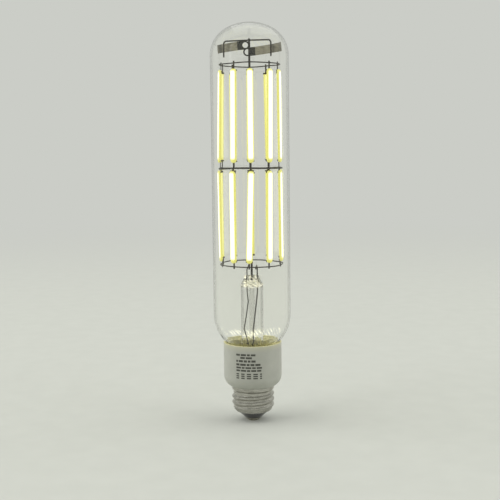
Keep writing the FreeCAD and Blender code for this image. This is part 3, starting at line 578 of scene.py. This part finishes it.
def swept(path: list[Vector], radius: float, sides: int = 14, closed: bool = False) -> Lump:
    """Sweeps a circle along a path, with rounded ends.

    Args:
        path: the points of the wire's centre line, in metres.
        radius: the wire's radius.
        sides: how many sides its section has.
        closed: whether the path closes on itself.

    Returns:
        The vertices and faces.
    """
    line = [path[-1], *path, path[0]] if closed else [path[0], *path, path[-1]]
    ways = [(after - before).normalized() for before, after in zip(line, line[2:])]
    across = UP.copy() if closed else ways[0].orthogonal().normalized()
    rings: list[tuple[Vector, Vector, Vector, float]] = []
    for spot, way in zip(path, ways):
        across = (across - way * across.dot(way)).normalized()
        rings.append((spot, across, way.cross(across), radius))
    if not closed:
        for end, sign in ((0, -1.0), (-1, 1.0)):
            centre, first, second, _ = rings[end]
            way = ways[end] * sign * radius
            domes = [(centre + way * math.sin(a), first, second, radius * math.cos(a))
                     for a in map(math.radians, DOME_ANGLES)]
            rings = rings + domes if sign > 0 else domes[::-1] + rings
    points = [centre + (first * math.cos(a) + second * math.sin(a)) * reach
              for centre, first, second, reach in rings for a in round_angles(sides)]
    rows = counted(0, len(rings), sides)
    return points, skin(rows, looped=True) if closed else capped(rows)


def merged(name: str, lumps: list[Lump]) -> bpy.types.Object:
    """Makes one object of several loose meshes.

    Args:
        name: the object's name.
        lumps: vertices and faces of each.

    Returns:
        The object.
    """
    points: list[Vector] = []
    faces: Faces = []
    for lump_points, lump_faces in lumps:
        faces += [tuple(index + len(points) for index in face) for face in lump_faces]
        points += lump_points
    return mesh_object(name, points, faces)


def bead(centre: Vector, axes: tuple[Vector, Vector, Vector]) -> Lump:
    """Makes a small ellipsoid, such as a weld bead.

    Args:
        centre: its centre.
        axes: its three half-axes as vectors.

    Returns:
        The vertices and faces.
    """
    rows, sides = 6, 10
    points = [centre - axes[2]]
    for polar in between(-math.pi / 2, math.pi / 2, rows):
        points += [centre + (axes[0] * math.cos(a) + axes[1] * math.sin(a)) * math.cos(polar)
                   + axes[2] * math.sin(polar) for a in round_angles(sides)]
    points.append(centre + axes[2])
    return points, skin([[0] * sides] + counted(1, rows - 1, sides) + [[len(points) - 1] * sides])


@dataclass
class GlassWork:
    """The blown bulb and the stem with its pumping tube."""

    wall: float = 1.0 * MM
    shoulder_radius: float = 25.0 * MM
    knuckle_radius: float = 19.0 * MM
    crown_radius: float = 30.0 * MM
    neck_radius: float = 15.0 * MM
    neck_fillet: float = 4.0 * MM
    neck_length: float = 4.6 * MM
    stem_radius: float = 6.9 * MM
    stem_wall: float = 1.0 * MM
    flare_gap: float = 1.2 * MM
    press_height: float = 6.3 * MM
    press_half_width: float = 4.8 * MM
    press_half_depth: float = 2.3 * MM
    press_rounding: float = 1.3 * MM
    pinch: float = 0.42
    pinch_start: float = 0.1
    slit: float = 0.15 * MM
    exhaust_radius: float = 1.75 * MM
    exhaust_bore: float = 0.95 * MM

    def half_section(self, inset: float) -> list[Point2]:
        """Half of the bulb's section from the neck's foot to the crown.

        Args:
            inset: how far inside the outer surface.

        Returns:
            Points as radius and height.
        """
        low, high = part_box("glass_bulb")
        outer, neck = high.x - inset, self.neck_radius - inset
        shoulder, fillet = self.shoulder_radius - inset, self.neck_fillet + inset
        knuckle, crown = self.knuckle_radius - inset, self.crown_radius - inset
        fillet_foot = low.z + self.neck_length
        across = neck + fillet - outer + shoulder
        down = math.sqrt((shoulder + fillet) ** 2 - across ** 2)
        lean = math.degrees(math.atan2(down, across))
        shoulder_top = fillet_foot + down
        side = outer - knuckle
        rise = math.sqrt((crown - knuckle) ** 2 - side ** 2)
        straight_top = high.z - inset - crown + rise
        turn = math.degrees(math.atan2(rise, side))
        section = [(neck, low.z)]
        section += arc((neck + fillet, fillet_foot), fillet, 180.0, 180.0 - lean, 10)
        section += arc((outer - shoulder, shoulder_top), shoulder, -lean, 0.0, 20)[1:]
        section += [(outer, height) for height in between(shoulder_top, straight_top, 24)]
        section += arc((side, straight_top), knuckle, 0.0, turn, 20)
        section += arc((0.0, straight_top - rise), crown, turn, 90.0, 12)[1:-1]
        return section + [(0.0, straight_top - rise + crown)]

    def build(self) -> None:
        """Makes the bulb, the stem and the pumping tube."""
        section = self.half_section(0.0) + self.half_section(self.wall)[::-1]
        keep(turned("glass_envelope", section, sides=192, crease=60.0), Slot.GLASS, "glass_bulb")
        self.build_stem()
        self.build_exhaust()

    def build_stem(self) -> None:
        """Flare, tube and pinched press, closed at the top, in one mesh."""
        low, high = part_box("stem_glass")
        wide, deep, rounding = self.press_half_width, self.press_half_depth, self.press_rounding
        press_foot = high.z - self.press_height
        bore = self.stem_radius - self.stem_wall
        bell = self.neck_radius - self.wall - self.flare_gap - self.stem_radius
        bell_top = low.z + self.stem_wall + bell
        flare = [(self.neck_radius, low.z), (self.neck_radius, low.z + self.stem_wall)]
        flare += arc((self.stem_radius + bell, bell_top), bell, 270.0, 180.0, 10)
        flare += [(self.stem_radius, height) for height in between(bell_top, press_foot, 12)]
        levels = upright(flare)
        for share in (0.0, *between(0.0, 1.0, 14), 1.0):
            levels.append((part_way(self.stem_radius, wide, eased(share)),
                           part_way(self.stem_radius, deep, eased(share)),
                           press_foot + (self.press_height - rounding) * share))
        for turn in map(math.radians, (20.0, 40.0, 60.0, 78.0, 90.0)):
            shrink = rounding * (1 - math.cos(turn))
            levels.append((wide - shrink, deep - shrink, high.z - rounding * (1 - math.sin(turn))))
        closed = press_foot + self.press_height * self.pinch
        levels += [(0.0, 0.0, high.z), (0.0, 0.0, closed)]
        for share in (1.0, *between(1.0, 0.0, 8), 0.0):
            levels.append((part_way(bore, wide - self.stem_wall, eased(share) * self.pinch),
                           part_way(bore, self.slit, eased(share)),
                           part_way(press_foot - self.press_height * self.pinch_start, closed, share)))
        bell += self.stem_wall
        levels += upright(arc((bore + bell, bell_top), bell, 180.0, 270.0, 10))
        points, rows = ringed(levels, 96)
        keep(mesh_object("stem_and_press", points, skin(rows, looped=True), 50.0), Slot.STEM, "stem_glass")

    def build_exhaust(self) -> None:
        """The thin pumping tube inside the stem, sealed at its foot."""
        low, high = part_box("exhaust_tube")
        outer, bore = self.exhaust_radius, self.exhaust_bore
        centre = (0.0, low.z + outer)
        section = [(0.0, low.z)] + arc(centre, outer, -90.0, 0.0, 8)[1:]
        section += [(outer, high.z), (bore, high.z)] + arc(centre, bore, 0.0, -90.0, 8)[:-1]
        section.append((0.0, centre[1] - bore))
        keep(turned("pumping_tube", section, 40, 50.0, closed=False), Slot.STEM, "exhaust_tube")


@dataclass
class StripFrame:
    """Where one glowing strip stands, read from the corners within reach of its solid's ends."""

    node: str
    reach: float = 4.0 * MM

    def __post_init__(self) -> None:
        """Finds the strip's direction, its facing, its length and the foot of its back face."""
        corners = [vertex.co.copy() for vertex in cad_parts[self.node].data.vertices]
        low, high = min(c.z for c in corners), max(c.z for c in corners)
        foot = middle([c for c in corners if c.z < low + self.reach])
        head = middle([c for c in corners if c.z > high - self.reach])
        centre = (foot + head) / 2
        self.along = (head - foot).normalized()
        flat = Vector((centre.x, centre.y, 0.0))
        self.outward = (flat - self.along * flat.dot(self.along)).normalized()
        spans = [(c - centre).dot(self.along) for c in corners]
        self.length = max(spans) - min(spans)
        self.foot = (centre + self.along * min(spans)
                     + self.outward * min((c - centre).dot(self.outward) for c in corners))


@dataclass
class GlowingStrips:
    """The twenty light strips in their phosphor coats."""

    half_width: float = 1.95 * MM
    depth: float = 1.5 * MM
    end_rounding: float = 1.85 * MM
    end_depth: float = 0.55
    end_gap: float = 0.02 * MM
    warm_head: Point2 = (0.6 * MM, 2.2 * MM)
    warm_foot: Point2 = (1.6 * MM, 3.6 * MM)
    warm_side: Point2 = (0.52, 0.88)
    back: tuple[float, ...] = (-0.86, -0.5, 0.0, 0.5, 0.86)
    back_glow: float = 0.28
    squareness: float = 3.0
    steps: int = 26
    count: int = 10
    frames: dict[Tier, list[StripFrame]] = field(default_factory=dict)

    def build(self) -> None:
        """Makes every strip of both tiers."""
        for tier in Tier:
            self.frames[tier] = [StripFrame(f"filament_{tier.value}_{number:02d}")
                                 for number in range(1, self.count + 1)]
            for place in self.frames[tier]:
                self.build_strip(place)

    def profile(self) -> list[Point3]:
        """One cross-section of the coat, for a half-width and a depth of 1.

        Returns:
            Points across and outward, and how much of the white core shows at each.
        """
        power = 2.0 / self.squareness
        points = []
        for cosine, sine in arc((0.0, 0.0), 1.0, 0.0, 180.0, self.steps):
            across = math.copysign(abs(cosine) ** power, cosine)
            points.append((across, abs(sine) ** power, 1.0 - share_of(abs(across), *self.warm_side)))
        return points + [(across, 0.0, self.back_glow * (1 - abs(across))) for across in self.back]

    def build_strip(self, place: StripFrame) -> None:
        """Makes one strip.

        Args:
            place: where it stands.
        """
        rounding, pale = self.end_rounding, self.warm_foot[1]
        stations = [(max(rounding * (1 - cosine), self.end_gap), self.half_width - rounding * (1 - sine),
                     part_way(self.end_depth, 1.0, sine))
                    for cosine, sine in arc((0.0, 0.0), 1.0, 0.0, 90.0, 6)]
        stations += [(height, self.half_width, 1.0)
                     for height in (rounding * 1.15, pale * 0.85, pale, pale * 1.5, place.length / 2)]
        stations += [(place.length - height, wide, deep) for height, wide, deep in reversed(stations[:-1])]
        side = place.along.cross(place.outward)
        profile = self.profile()
        points, glow = [], []
        for height, wide, deep in stations:
            spot = place.foot + place.along * height
            white = min(share_of(height, *self.warm_foot),
                        share_of(place.length - height, *self.warm_head))
            points += [spot + side * (across * wide) + place.outward * (out * self.depth * deep)
                       for across, out, _ in profile]
            glow += [core * white for _, _, core in profile]
        faces = capped(counted(0, len(stations), len(profile)))
        piece = mesh_object(place.node.replace("filament", "glow_strip"), points, faces, 60.0)
        paint(piece, "glow", glow)
        keep(piece, Slot.COAT, place.node)


@dataclass
class Ring:
    """A ring of wire that was bent by hand, so never quite flat, with the weld beads on it."""

    name: str
    number: int
    tiers: tuple[Tier, ...]
    back_sag: float = 0.0
    loose_end: bool = False
    wobble: float = 0.14 * MM
    steps: int = 160
    bead_size: Point3 = (0.6 * MM, 0.42 * MM, 0.62 * MM)
    end_turn: float = 285.0
    end_length: float = 2.4 * MM

    def __post_init__(self) -> None:
        """Reads the wire's radius and the ring's radius and height from its solid."""
        low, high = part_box(self.name)
        self.wire = (high.z - low.z) / 2
        self.radius = (high.x - low.x) / 2 - self.wire
        self.height = (low.z + high.z) / 2

    def point(self, angle: float, inset: float = 0.0) -> Vector:
        """A point near the wire's centre line.

        Args:
            angle: the azimuth from the front, in radians.
            inset: how far inside the centre line.

        Returns:
            The point.
        """
        lift = math.sin(3 * angle + self.number) + 0.6 * math.sin(5 * angle + 2.1 * self.number)
        height = self.height + self.wobble * lift - self.back_sag * (1 - math.cos(angle)) / 2
        radius = self.radius - inset
        return Vector((radius * math.sin(angle), -radius * math.cos(angle), height))

    def build(self, strips: GlowingStrips) -> None:
        """Makes the wire and the beads.

        Args:
            strips: the glowing strips, whose pins meet the ring.
        """
        path = [self.point(angle) for angle in round_angles(self.steps)]
        lumps = [swept(path, self.wire, 12, closed=True)]
        if self.loose_end:
            lumps.append(self.stub())
        keep(merged(self.name + "_wire", lumps), Slot.WIRE, self.name)
        beads = [self.weld(place) for tier in self.tiers for place in strips.frames[tier]]
        keep(merged(self.name + "_welds", beads), Slot.TERMINAL)

    def stub(self) -> Lump:
        """The loose wire end, which stands off a little.

        Returns:
            The vertices and faces.
        """
        angle = math.radians(self.end_turn)
        start = self.point(angle - 0.18, 1.7 * self.wire)
        bend = self.point(angle, 1.2 * self.wire)
        tip = self.point(angle + self.end_length / self.radius, -1.0 * MM)
        rise = UP * self.wire
        return swept([start, bend, bend.lerp(tip, 0.4) + rise * 0.3, tip + rise], self.wire, 10)

    def weld(self, place: StripFrame) -> Lump:
        """A bead where a strip's pin meets the ring.

        Args:
            place: the strip's frame.

        Returns:
            The vertices and faces.
        """
        pin = place.foot + place.along * ((self.height - place.foot.z) / place.along.z)
        angle = math.atan2(pin.x, -pin.y)
        out = Vector((math.sin(angle), -math.cos(angle), 0.0))
        wide, deep, tall = self.bead_size
        return bead(self.point(angle, 0.7 * self.wire), (UP.cross(out) * wide, out * deep, UP * tall))


@dataclass
class LeafSpring:
    """A spring bent from strip, with a round holed end welded to the post and a curled tip."""

    node: str
    drop: float
    start: float
    outer: float
    outer_turn: float
    gap: float
    half_turn: bool
    outer_painted_shade: float
    curl_painted_shade: float = 0.3
    thickness: float = 0.3 * MM
    half_height: float = 2.6 * MM
    flat: float = 7.4 * MM
    middle_turn: float = 27.0
    bend: float = 0.9 * MM
    curl: float = 1.0 * MM
    curl_turn: float = 130.0
    hole: float = 1.7 * MM
    tilt: float = 5.5
    bore: float = 23.0 * MM
    post_radius: float = 0.65 * MM
    edge_rounding: float = 0.05 * MM

    def route(self) -> Route:
        """The strip's middle line as it was bent.

        Returns:
            Length so far and place at closely set points.
        """
        middle_turn, outer_turn = math.radians(self.middle_turn), math.radians(self.outer_turn)
        curl_turn = math.radians(self.curl_turn)
        reach = self.bore - self.gap - self.start - self.flat - self.outer * math.cos(outer_turn)
        first_set = self.bend * math.tan(middle_turn / 2)
        second_set = self.bend * math.tan((outer_turn - middle_turn) / 2)
        moves = [(self.flat - first_set, 0.0), (self.bend * middle_turn, -middle_turn),
                 (reach / math.cos(middle_turn) - first_set - second_set, 0.0),
                 (self.bend * (outer_turn - middle_turn), middle_turn - outer_turn),
                 (self.outer - second_set, 0.0), (self.curl * curl_turn, -curl_turn)]
        spot = Vector((self.start, self.post_radius + self.thickness / 2, 0.0))
        heading, length = 0.0, 0.0
        line = [(length, spot)]
        for distance, turn in moves:
            pieces = 12 if turn else max(2, int(distance / (0.6 * MM)))
            for _ in range(pieces):
                heading += turn / pieces / 2
                spot = spot + Vector((math.cos(heading), math.sin(heading), 0.0)) * distance / pieces
                heading += turn / pieces / 2
                length += distance / pieces
                line.append((length, spot))
        return line

    def place_on(self, line: Route, length: float) -> Vector:
        """Returns the place at a length along the line."""
        (near, start), (far, end) = next(pair for pair in zip(line, line[1:]) if length <= pair[1][0])
        return start.lerp(end, (length - near) / (far - near))

    def weld_tint_and_painted_shade(self, length: float, whole: float) -> float:
        """How dark the strip is painted: the welded flat for its heat tint and painted shade, the outer
        part and the curl for painted shade.

        Args:
            length: the place along the strip.
            whole: the strip's full length.

        Returns:
            1 for the darkest grey and 0 for bright metal.
        """
        curled = whole - self.curl * math.radians(self.curl_turn)
        if length < self.flat:
            return 1.0
        if length > curled:
            return self.curl_painted_shade
        return self.outer_painted_shade if length > curled - self.outer + self.bend else 0.0

    def build(self) -> None:
        """Makes the spring as a plate with thickness and eased edges."""
        line = self.route()
        centre = self.half_height
        heights = [-centre, *between(-centre, centre, 8), centre]
        columns = [2 * centre] + [length for length, _ in line if length > 2 * centre + 0.1 * MM]
        points = [(length, height) for length in columns for height in heights]
        width = len(heights)
        faces = [(low, low + width, low + width + 1, low + 1)
                 for column in counted(0, len(columns) - 1, width) for low in column[:-1]]
        rim = points[:width] + [(length, centre) for length in between(2 * centre, centre, 4)]
        rim += arc((centre, 0.0), centre, 90.0, 270.0, 24)
        rim += [(length, -centre) for length in between(centre, 2 * centre, 4)]
        angles = [math.atan2(height, length - centre) for length, height in rim]
        edge = list(range(width)) + list(range(len(points), len(points) + len(rim) - width))
        points += rim[width:]
        faces += skin([edge] + counted(len(points), 1, len(rim)))
        points += [(centre + self.hole * math.cos(a), self.hole * math.sin(a)) for a in angles]
        spun = Matrix.Rotation(math.pi if self.half_turn else 0.0, 3, "Z")
        tilted = Matrix.Rotation(-math.radians(self.tilt), 3, "Y")
        seat = UP * (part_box("centre_post")[1].z - self.drop)
        solid = [tilted @ spun @ (self.place_on(line, length) + UP * height) + seat
                 for length, height in points]
        piece = mesh_object(self.node + "_strip", solid, faces, 50.0)
        thicken(piece, self.thickness, 0.0)
        eased_edge = piece.modifiers.new("eased", "BEVEL")
        eased_edge.width, eased_edge.segments = self.edge_rounding, 2
        eased_edge.limit_method, eased_edge.angle_limit = "ANGLE", math.radians(60.0)
        # painted shade on the strip's facets, with the weld's heat tint on the flat
        paint(piece, "heat_tint_and_painted_shade", [self.weld_tint_and_painted_shade(length, line[-1][0]) for length, _ in points])
        keep(piece, Slot.SPRING, self.node)


@dataclass(frozen=True)
class PrintRow:
    """One row of short dashes; all lengths in millimetres."""

    down: float
    tall: float
    dashes: tuple[float, ...]
    indent: float = 0.0
    gap: float = 0.55


@dataclass
class Collar:
    """The moulded collar, with short dashes for its print.

    The rim lights are how strong the lamp's light is painted into the rim, as a cream colour, and how far
    down it reaches.
    """

    rounding: float = 0.35 * MM
    rim_light_inside: Point2 = (1.0, 6.8 * MM)
    rim_light_outside: Point2 = (0.3, 3.4 * MM)
    foot_radius: float = 7.5 * MM
    wall: float = 1.0 * MM
    spigot_radius: float = 11.63 * MM
    bore_radius: float = 10.43 * MM
    spigot_depth: float = 6.4 * MM
    foot_step: float = 13.9 * MM
    floor_rise: float = 10.6 * MM
    waist: float = 14.0 * MM
    print_left: float = -33.8
    print_top: float = 45.5 * MM
    print_lift: float = 0.03 * MM
    print_step: float = 0.5
    rows: tuple[PrintRow, ...] = (
        PrintRow(0.0, 1.2, (2.6, 3.4, 1.8, 2.9)),
        PrintRow(1.8, 1.2, (3.0, 3.8), indent=2.8),
        PrintRow(3.8, 1.3, (1.2, 2.8, 2.0, 1.6, 2.6)),
        PrintRow(6.0, 1.3, (2.2, 3.6, 1.8, 2.4, 3.2)),
        PrintRow(8.0, 1.1, (3.2, 1.8, 3.6, 2.2, 3.3)),
        PrintRow(9.8, 1.1, (2.6, 3.4, 2.0, 3.1, 2.6)),
        *(PrintRow(down, 0.8, (1.9, 2.2, 2.6, 2.8, 1.2), gap=1.4) for down in (12.1, 13.4, 14.7)),
    )

    def build(self) -> None:
        """Makes the collar and its print."""
        low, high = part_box("collar")
        outer, top, rounding = high.x, high.z, self.rounding
        bottom = low.z + self.spigot_depth
        rim = outer - self.wall
        lean = math.acos((self.foot_step - outer + self.foot_radius) / self.foot_radius)
        foot_top = bottom + self.foot_radius * math.sin(lean)
        ledge = bottom + self.floor_rise
        section = [(self.spigot_radius, low.z), (self.spigot_radius, bottom),
                   (self.foot_step - rounding, bottom)]
        section += arc((outer - self.foot_radius, foot_top), self.foot_radius,
                       -math.degrees(lean), 0.0, 14)
        section += [(outer, height) for height in between(foot_top, top, 16)]
        section += arc((outer - rounding, top - rounding), rounding, 0.0, 90.0, 6)
        section += arc((rim + rounding, top - rounding), rounding, 90.0, 180.0, 6)[1:]
        section += [(rim, ledge), (self.waist, ledge), (self.waist, ledge - self.wall),
                    (self.bore_radius, bottom + self.wall), (self.bore_radius, low.z)]
        moulding = turned("collar_moulding", section, 144, 35.0)
        # painted light: the rim's cream colour stands for the lamp's light falling on it
        paint(moulding, "painted_rim_light", [self.rim_light_share(top - vertex.co.z, vertex.co.xy.length - rim)
                                     for vertex in moulding.data.vertices])
        keep(moulding, Slot.COLLAR, "collar")
        self.build_print(outer)

    def rim_light_share(self, depth: float, past_bore: float) -> float:
        """Returns how much painted lamp light the rim gets at a depth below its top and a distance outside
        its bore.
        """
        lit, deep = self.rim_light_inside if min(past_bore, 2.5 * depth) < self.rounding else self.rim_light_outside
        return lit * (1.0 - share_of(depth, 0.0, deep))

    def build_print(self, radius: float) -> None:
        """Rows of dashes that stand a hair off the collar's side.

        Args:
            radius: the collar's outer radius.
        """
        lumps = []
        for row in self.rows:
            start = math.radians(self.print_left) * radius + row.indent * MM
            top = self.print_top - row.down * MM
            for length in row.dashes:
                steps = max(2, int(length / self.print_step))
                points = []
                for step in range(steps + 1):
                    angle = (start + length * MM * step / steps) / radius
                    out = Vector((math.sin(angle), -math.cos(angle), 0.0)) * (radius + self.print_lift)
                    points += [out + UP * top, out + UP * (top - row.tall * MM)]
                lumps.append((points, [(n, n + 1, n + 3, n + 2) for n in range(0, 2 * steps, 2)]))
                start += (length + row.gap) * MM
        keep(merged("collar_print", lumps), Slot.COLLAR, material=INK)


@dataclass
class ScrewCap:
    """The shell of rolled sheet, with a true right-hand thread."""

    pitch: float = 3.629 * MM
    depth: float = 1.095 * MM
    turns: float = 3.0
    turn_steps: int = 68
    wall: float = 0.3 * MM
    taper: float = 2.1 * MM
    lip_width: float = 2.23 * MM
    flange: float = 1.8 * MM
    sides: int = 144

    def bulge(self, along: float, angle: float) -> float:
        """How far the thread stands out of its root.

        Args:
            along: the height above the thread's start, in pitches.
            angle: the azimuth in radians.

        Returns:
            The distance, 0 above and below the thread.
        """
        if not 0 < along < self.turns:
            return 0.0
        knuckle = ((self.pitch / 4) ** 2 + (self.depth / 2) ** 2) / self.depth
        away = abs((along - angle / (2 * math.pi)) % 1.0 - 0.5) * self.pitch
        if away <= self.pitch / 4:
            bulge = self.depth - knuckle + math.sqrt(knuckle ** 2 - away ** 2)
        else:
            bulge = knuckle - math.sqrt(knuckle ** 2 - (self.pitch / 2 - away) ** 2)
        return bulge * eased(min(1.0, along * 2.0, (self.turns - along) * 2.0))

    def build(self) -> None:
        """Makes the shell from its lip to its flange."""
        low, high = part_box("screw_shell")
        root, lip = high.x - self.depth, high.x - self.depth - self.lip_width
        start, flange_foot = low.z + self.taper, high.z - self.flange
        end = start + self.turns * self.pitch
        section = [(lip, low.z + 1.6 * MM), (lip, low.z), (lip + 0.3 * MM, low.z),
                   (root - 1.3 * MM, low.z + 0.25 * MM), (root - 0.5 * MM, low.z + 1.0 * MM)]
        section += [(root, height) for height in (start, *between(start, end, self.turn_steps), end)]
        section += [(root, flange_foot - self.depth), (high.x, flange_foot), (high.x, high.z),
                    (high.x - 0.6 * MM, high.z)]
        points = []
        for radius, height in section:
            for angle in round_angles(self.sides):
                reach = radius + self.bulge((height - start) / self.pitch, angle)
                points.append(Vector((reach * math.cos(angle), reach * math.sin(angle), height)))
        piece = mesh_object("threaded_shell", points, skin(counted(0, len(section), self.sides)), 35.0)
        thicken(piece, self.wall, -1.0)
        keep(piece, Slot.SHELL, "screw_shell")


@dataclass
class SolidNodes:
    """The solids that keep their own shape and only get a finish."""

    finishes: tuple[tuple[Slot, str], ...] = (
        (Slot.WIRE, "centre_post left_arm right_arm ring_arm ring_lead post_lead"),
        (Slot.TERMINAL, "terminals_upper_high terminals_upper_low"),
        (Slot.TERMINAL, "terminals_lower_high terminals_lower_low"),
        (Slot.CEMENT, "neck_cement"), (Slot.BOARD, "driver_board"), (Slot.INSULATOR, "shell_insulator"),
        (Slot.CONTACT, "centre_contact"), (Slot.SLEEVE, "shell_wire contact_wire"),
        (Slot.CAN, "buffer_capacitor"), (Slot.CHOKE, "choke"), (Slot.FILM, "film_capacitor"),
        (Slot.CHIP, "bridge_rectifier driver_chip"), (Slot.RESISTOR, "fusible_resistor"),
    )

    def build(self) -> None:
        """Gives each solid its finish."""
        for slot, nodes in self.finishes:
            for node in nodes.split():
                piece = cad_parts[node]
                for holder in piece.material_slots:
                    holder.material = WARDROBE[slot]
                LOG.info("%s: keeps its solid, dressed as %s", node, slot.value)


@dataclass(frozen=True)
class SoftBox:
    """A soft lamp that looks at the bulb's middle; glass never shows it, and gloss only if mirrored."""

    name: str
    place: Point3
    size: Point2
    watts: float
    mirrored: bool = True
    target: Point3 = (0.0, 0.0, 0.12)

    def build(self) -> None:
        """Hangs the lamp."""
        data = bpy.data.lights.new(self.name, "AREA")
        data.shape, data.energy = "RECTANGLE", self.watts
        data.size, data.size_y = self.size
        lamp = bpy.data.objects.new(self.name, data)
        lamp.location = self.place
        lamp.visible_glossy, lamp.visible_transmission = self.mirrored, False
        aim = Vector(self.target) - Vector(self.place)
        lamp.rotation_euler = aim.to_track_quat("-Z", "Y").to_euler()
        bpy.context.scene.collection.objects.link(lamp)


@dataclass
class Studio:
    """Floor, backdrop light, lamps and camera."""

    floor_rings: tuple[float, ...] = (0.0, 0.2, 0.6, 1.6, 4.0)
    near: Colour = (196, 198, 190)
    near_grain: Colour = (199, 201, 193)
    far: Colour = (203, 205, 199)
    fade: Point2 = (0.35, 1.6)
    air: Colour = (250, 251, 248)
    ambient: float = 0.6
    lamps: tuple[SoftBox, ...] = (
        SoftBox("key_light", (-2.2, -0.3, 1.7), (3.0, 3.0), 48.0, mirrored=False),
        SoftBox("fill_light", (2.1, -0.2, 1.3), (2.8, 2.8), 30.0, mirrored=False),
        SoftBox("top_light", (0.3, 1.0, 2.4), (2.6, 2.6), 12.0),
        SoftBox("glint_light", (-2.3, -1.5, 0.9), (0.42, 2.0), 2.5),
    )
    lens: float = 70.92
    sensor: float = 36.0
    eye: Point3 = (0.0, -0.6077, 0.1746)
    pitch: float = 6.3
    roll: float = -0.66
    shift: float = -0.003
    clip: Point2 = (0.01, 50.0)

    def build(self) -> None:
        """Sets the stage."""
        self.build_floor()
        self.build_world()
        for lamp in self.lamps:
            lamp.build()
        self.build_camera()

    def build_floor(self) -> None:
        """A pale floor that takes the shadow near the lamp and passes into the backdrop further out."""
        floor = turned("studio_floor", [(radius, 0.0) for radius in self.floor_rings], 96, closed=False)
        material, make = blank_material("studio_floor")
        place = make.add("TexCoord").outputs["Object"]
        share = make.span(make.length(place), *self.fade, way="SMOOTHSTEP")
        grain = make.span(make.noise(place, 60.0, 3.0), *GRAIN_SPAN)
        matt = make.out("BsdfPrincipled", {
            "Base Color": make.blend(grain, linear(self.near), linear(self.near_grain)),
            "Roughness": 0.85, "Specular IOR Level": 0.2})
        glow = make.out("Emission", {"Color": linear(self.far)})
        make.add("OutputMaterial", {"Surface": make.out("MixShader", {0: share, 1: matt, 2: glow})})
        floor.data.materials.append(material)

    def build_world(self) -> None:
        """Even light from all round; the eye, gloss and glass see the backdrop's colour."""
        world = bpy.data.worlds.new("studio_world")
        bpy.context.scene.world = world
        world.use_nodes = True
        world.node_tree.nodes.clear()
        make = Nodes(world.node_tree)
        path = make.add("LightPath").outputs
        seen = make.reckon("MAXIMUM", path["Is Camera Ray"], path["Is Transmission Ray"])
        seen = make.reckon("MAXIMUM", seen, path["Is Glossy Ray"])
        light = make.out("Background", {"Color": linear(self.air), "Strength": self.ambient})
        backdrop = make.out("Background", {"Color": linear(self.far)})
        make.add("OutputWorld", {"Surface": make.out("MixShader", {0: seen, 1: light, 2: backdrop})})

    def build_camera(self) -> None:
        """The photograph's view: slightly above the middle, tipped down a little."""
        data = bpy.data.cameras.new("photo_camera")
        data.lens, data.sensor_width, data.shift_x = self.lens, self.sensor, self.shift
        data.clip_start, data.clip_end = self.clip
        camera = bpy.data.objects.new("photo_camera", data)
        camera.location = self.eye
        tip = Euler((math.radians(90.0 - self.pitch), 0.0, 0.0)).to_matrix()
        camera.rotation_euler = (tip @ Matrix.Rotation(math.radians(self.roll), 3, "Z")).to_euler()
        bpy.context.scene.collection.objects.link(camera)
        bpy.context.scene.camera = camera


def main() -> None:
    """Builds the lamp's sub-assemblies in order, then the studio."""
    logging.basicConfig(level=logging.INFO, format="%(name)s: %(message)s")
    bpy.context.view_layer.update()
    bpy.context.scene.view_settings.view_transform = "Standard"
    SolidNodes().build()
    GlassWork().build()
    strips = GlowingStrips()
    strips.build()
    Ring("top_ring", 1, (Tier.UPPER,)).build(strips)
    Ring("middle_ring", 2, (Tier.UPPER, Tier.LOWER), back_sag=0.5 * MM, loose_end=True).build(strips)
    Ring("bottom_ring", 3, (Tier.LOWER,)).build(strips)
    LeafSpring("upper_leaf_spring", 3.8 * MM, -0.2 * MM, 4.0 * MM, 30.0, 3.8 * MM, True, 0.75).build()
    LeafSpring("lower_leaf_spring", 7.9 * MM, -3.7 * MM, 8.2 * MM, 40.0, 4.5 * MM, False, 0.2).build()
    Collar().build()
    ScrewCap().build()
    Studio().build()


if __name__ == "__main__":
    main()
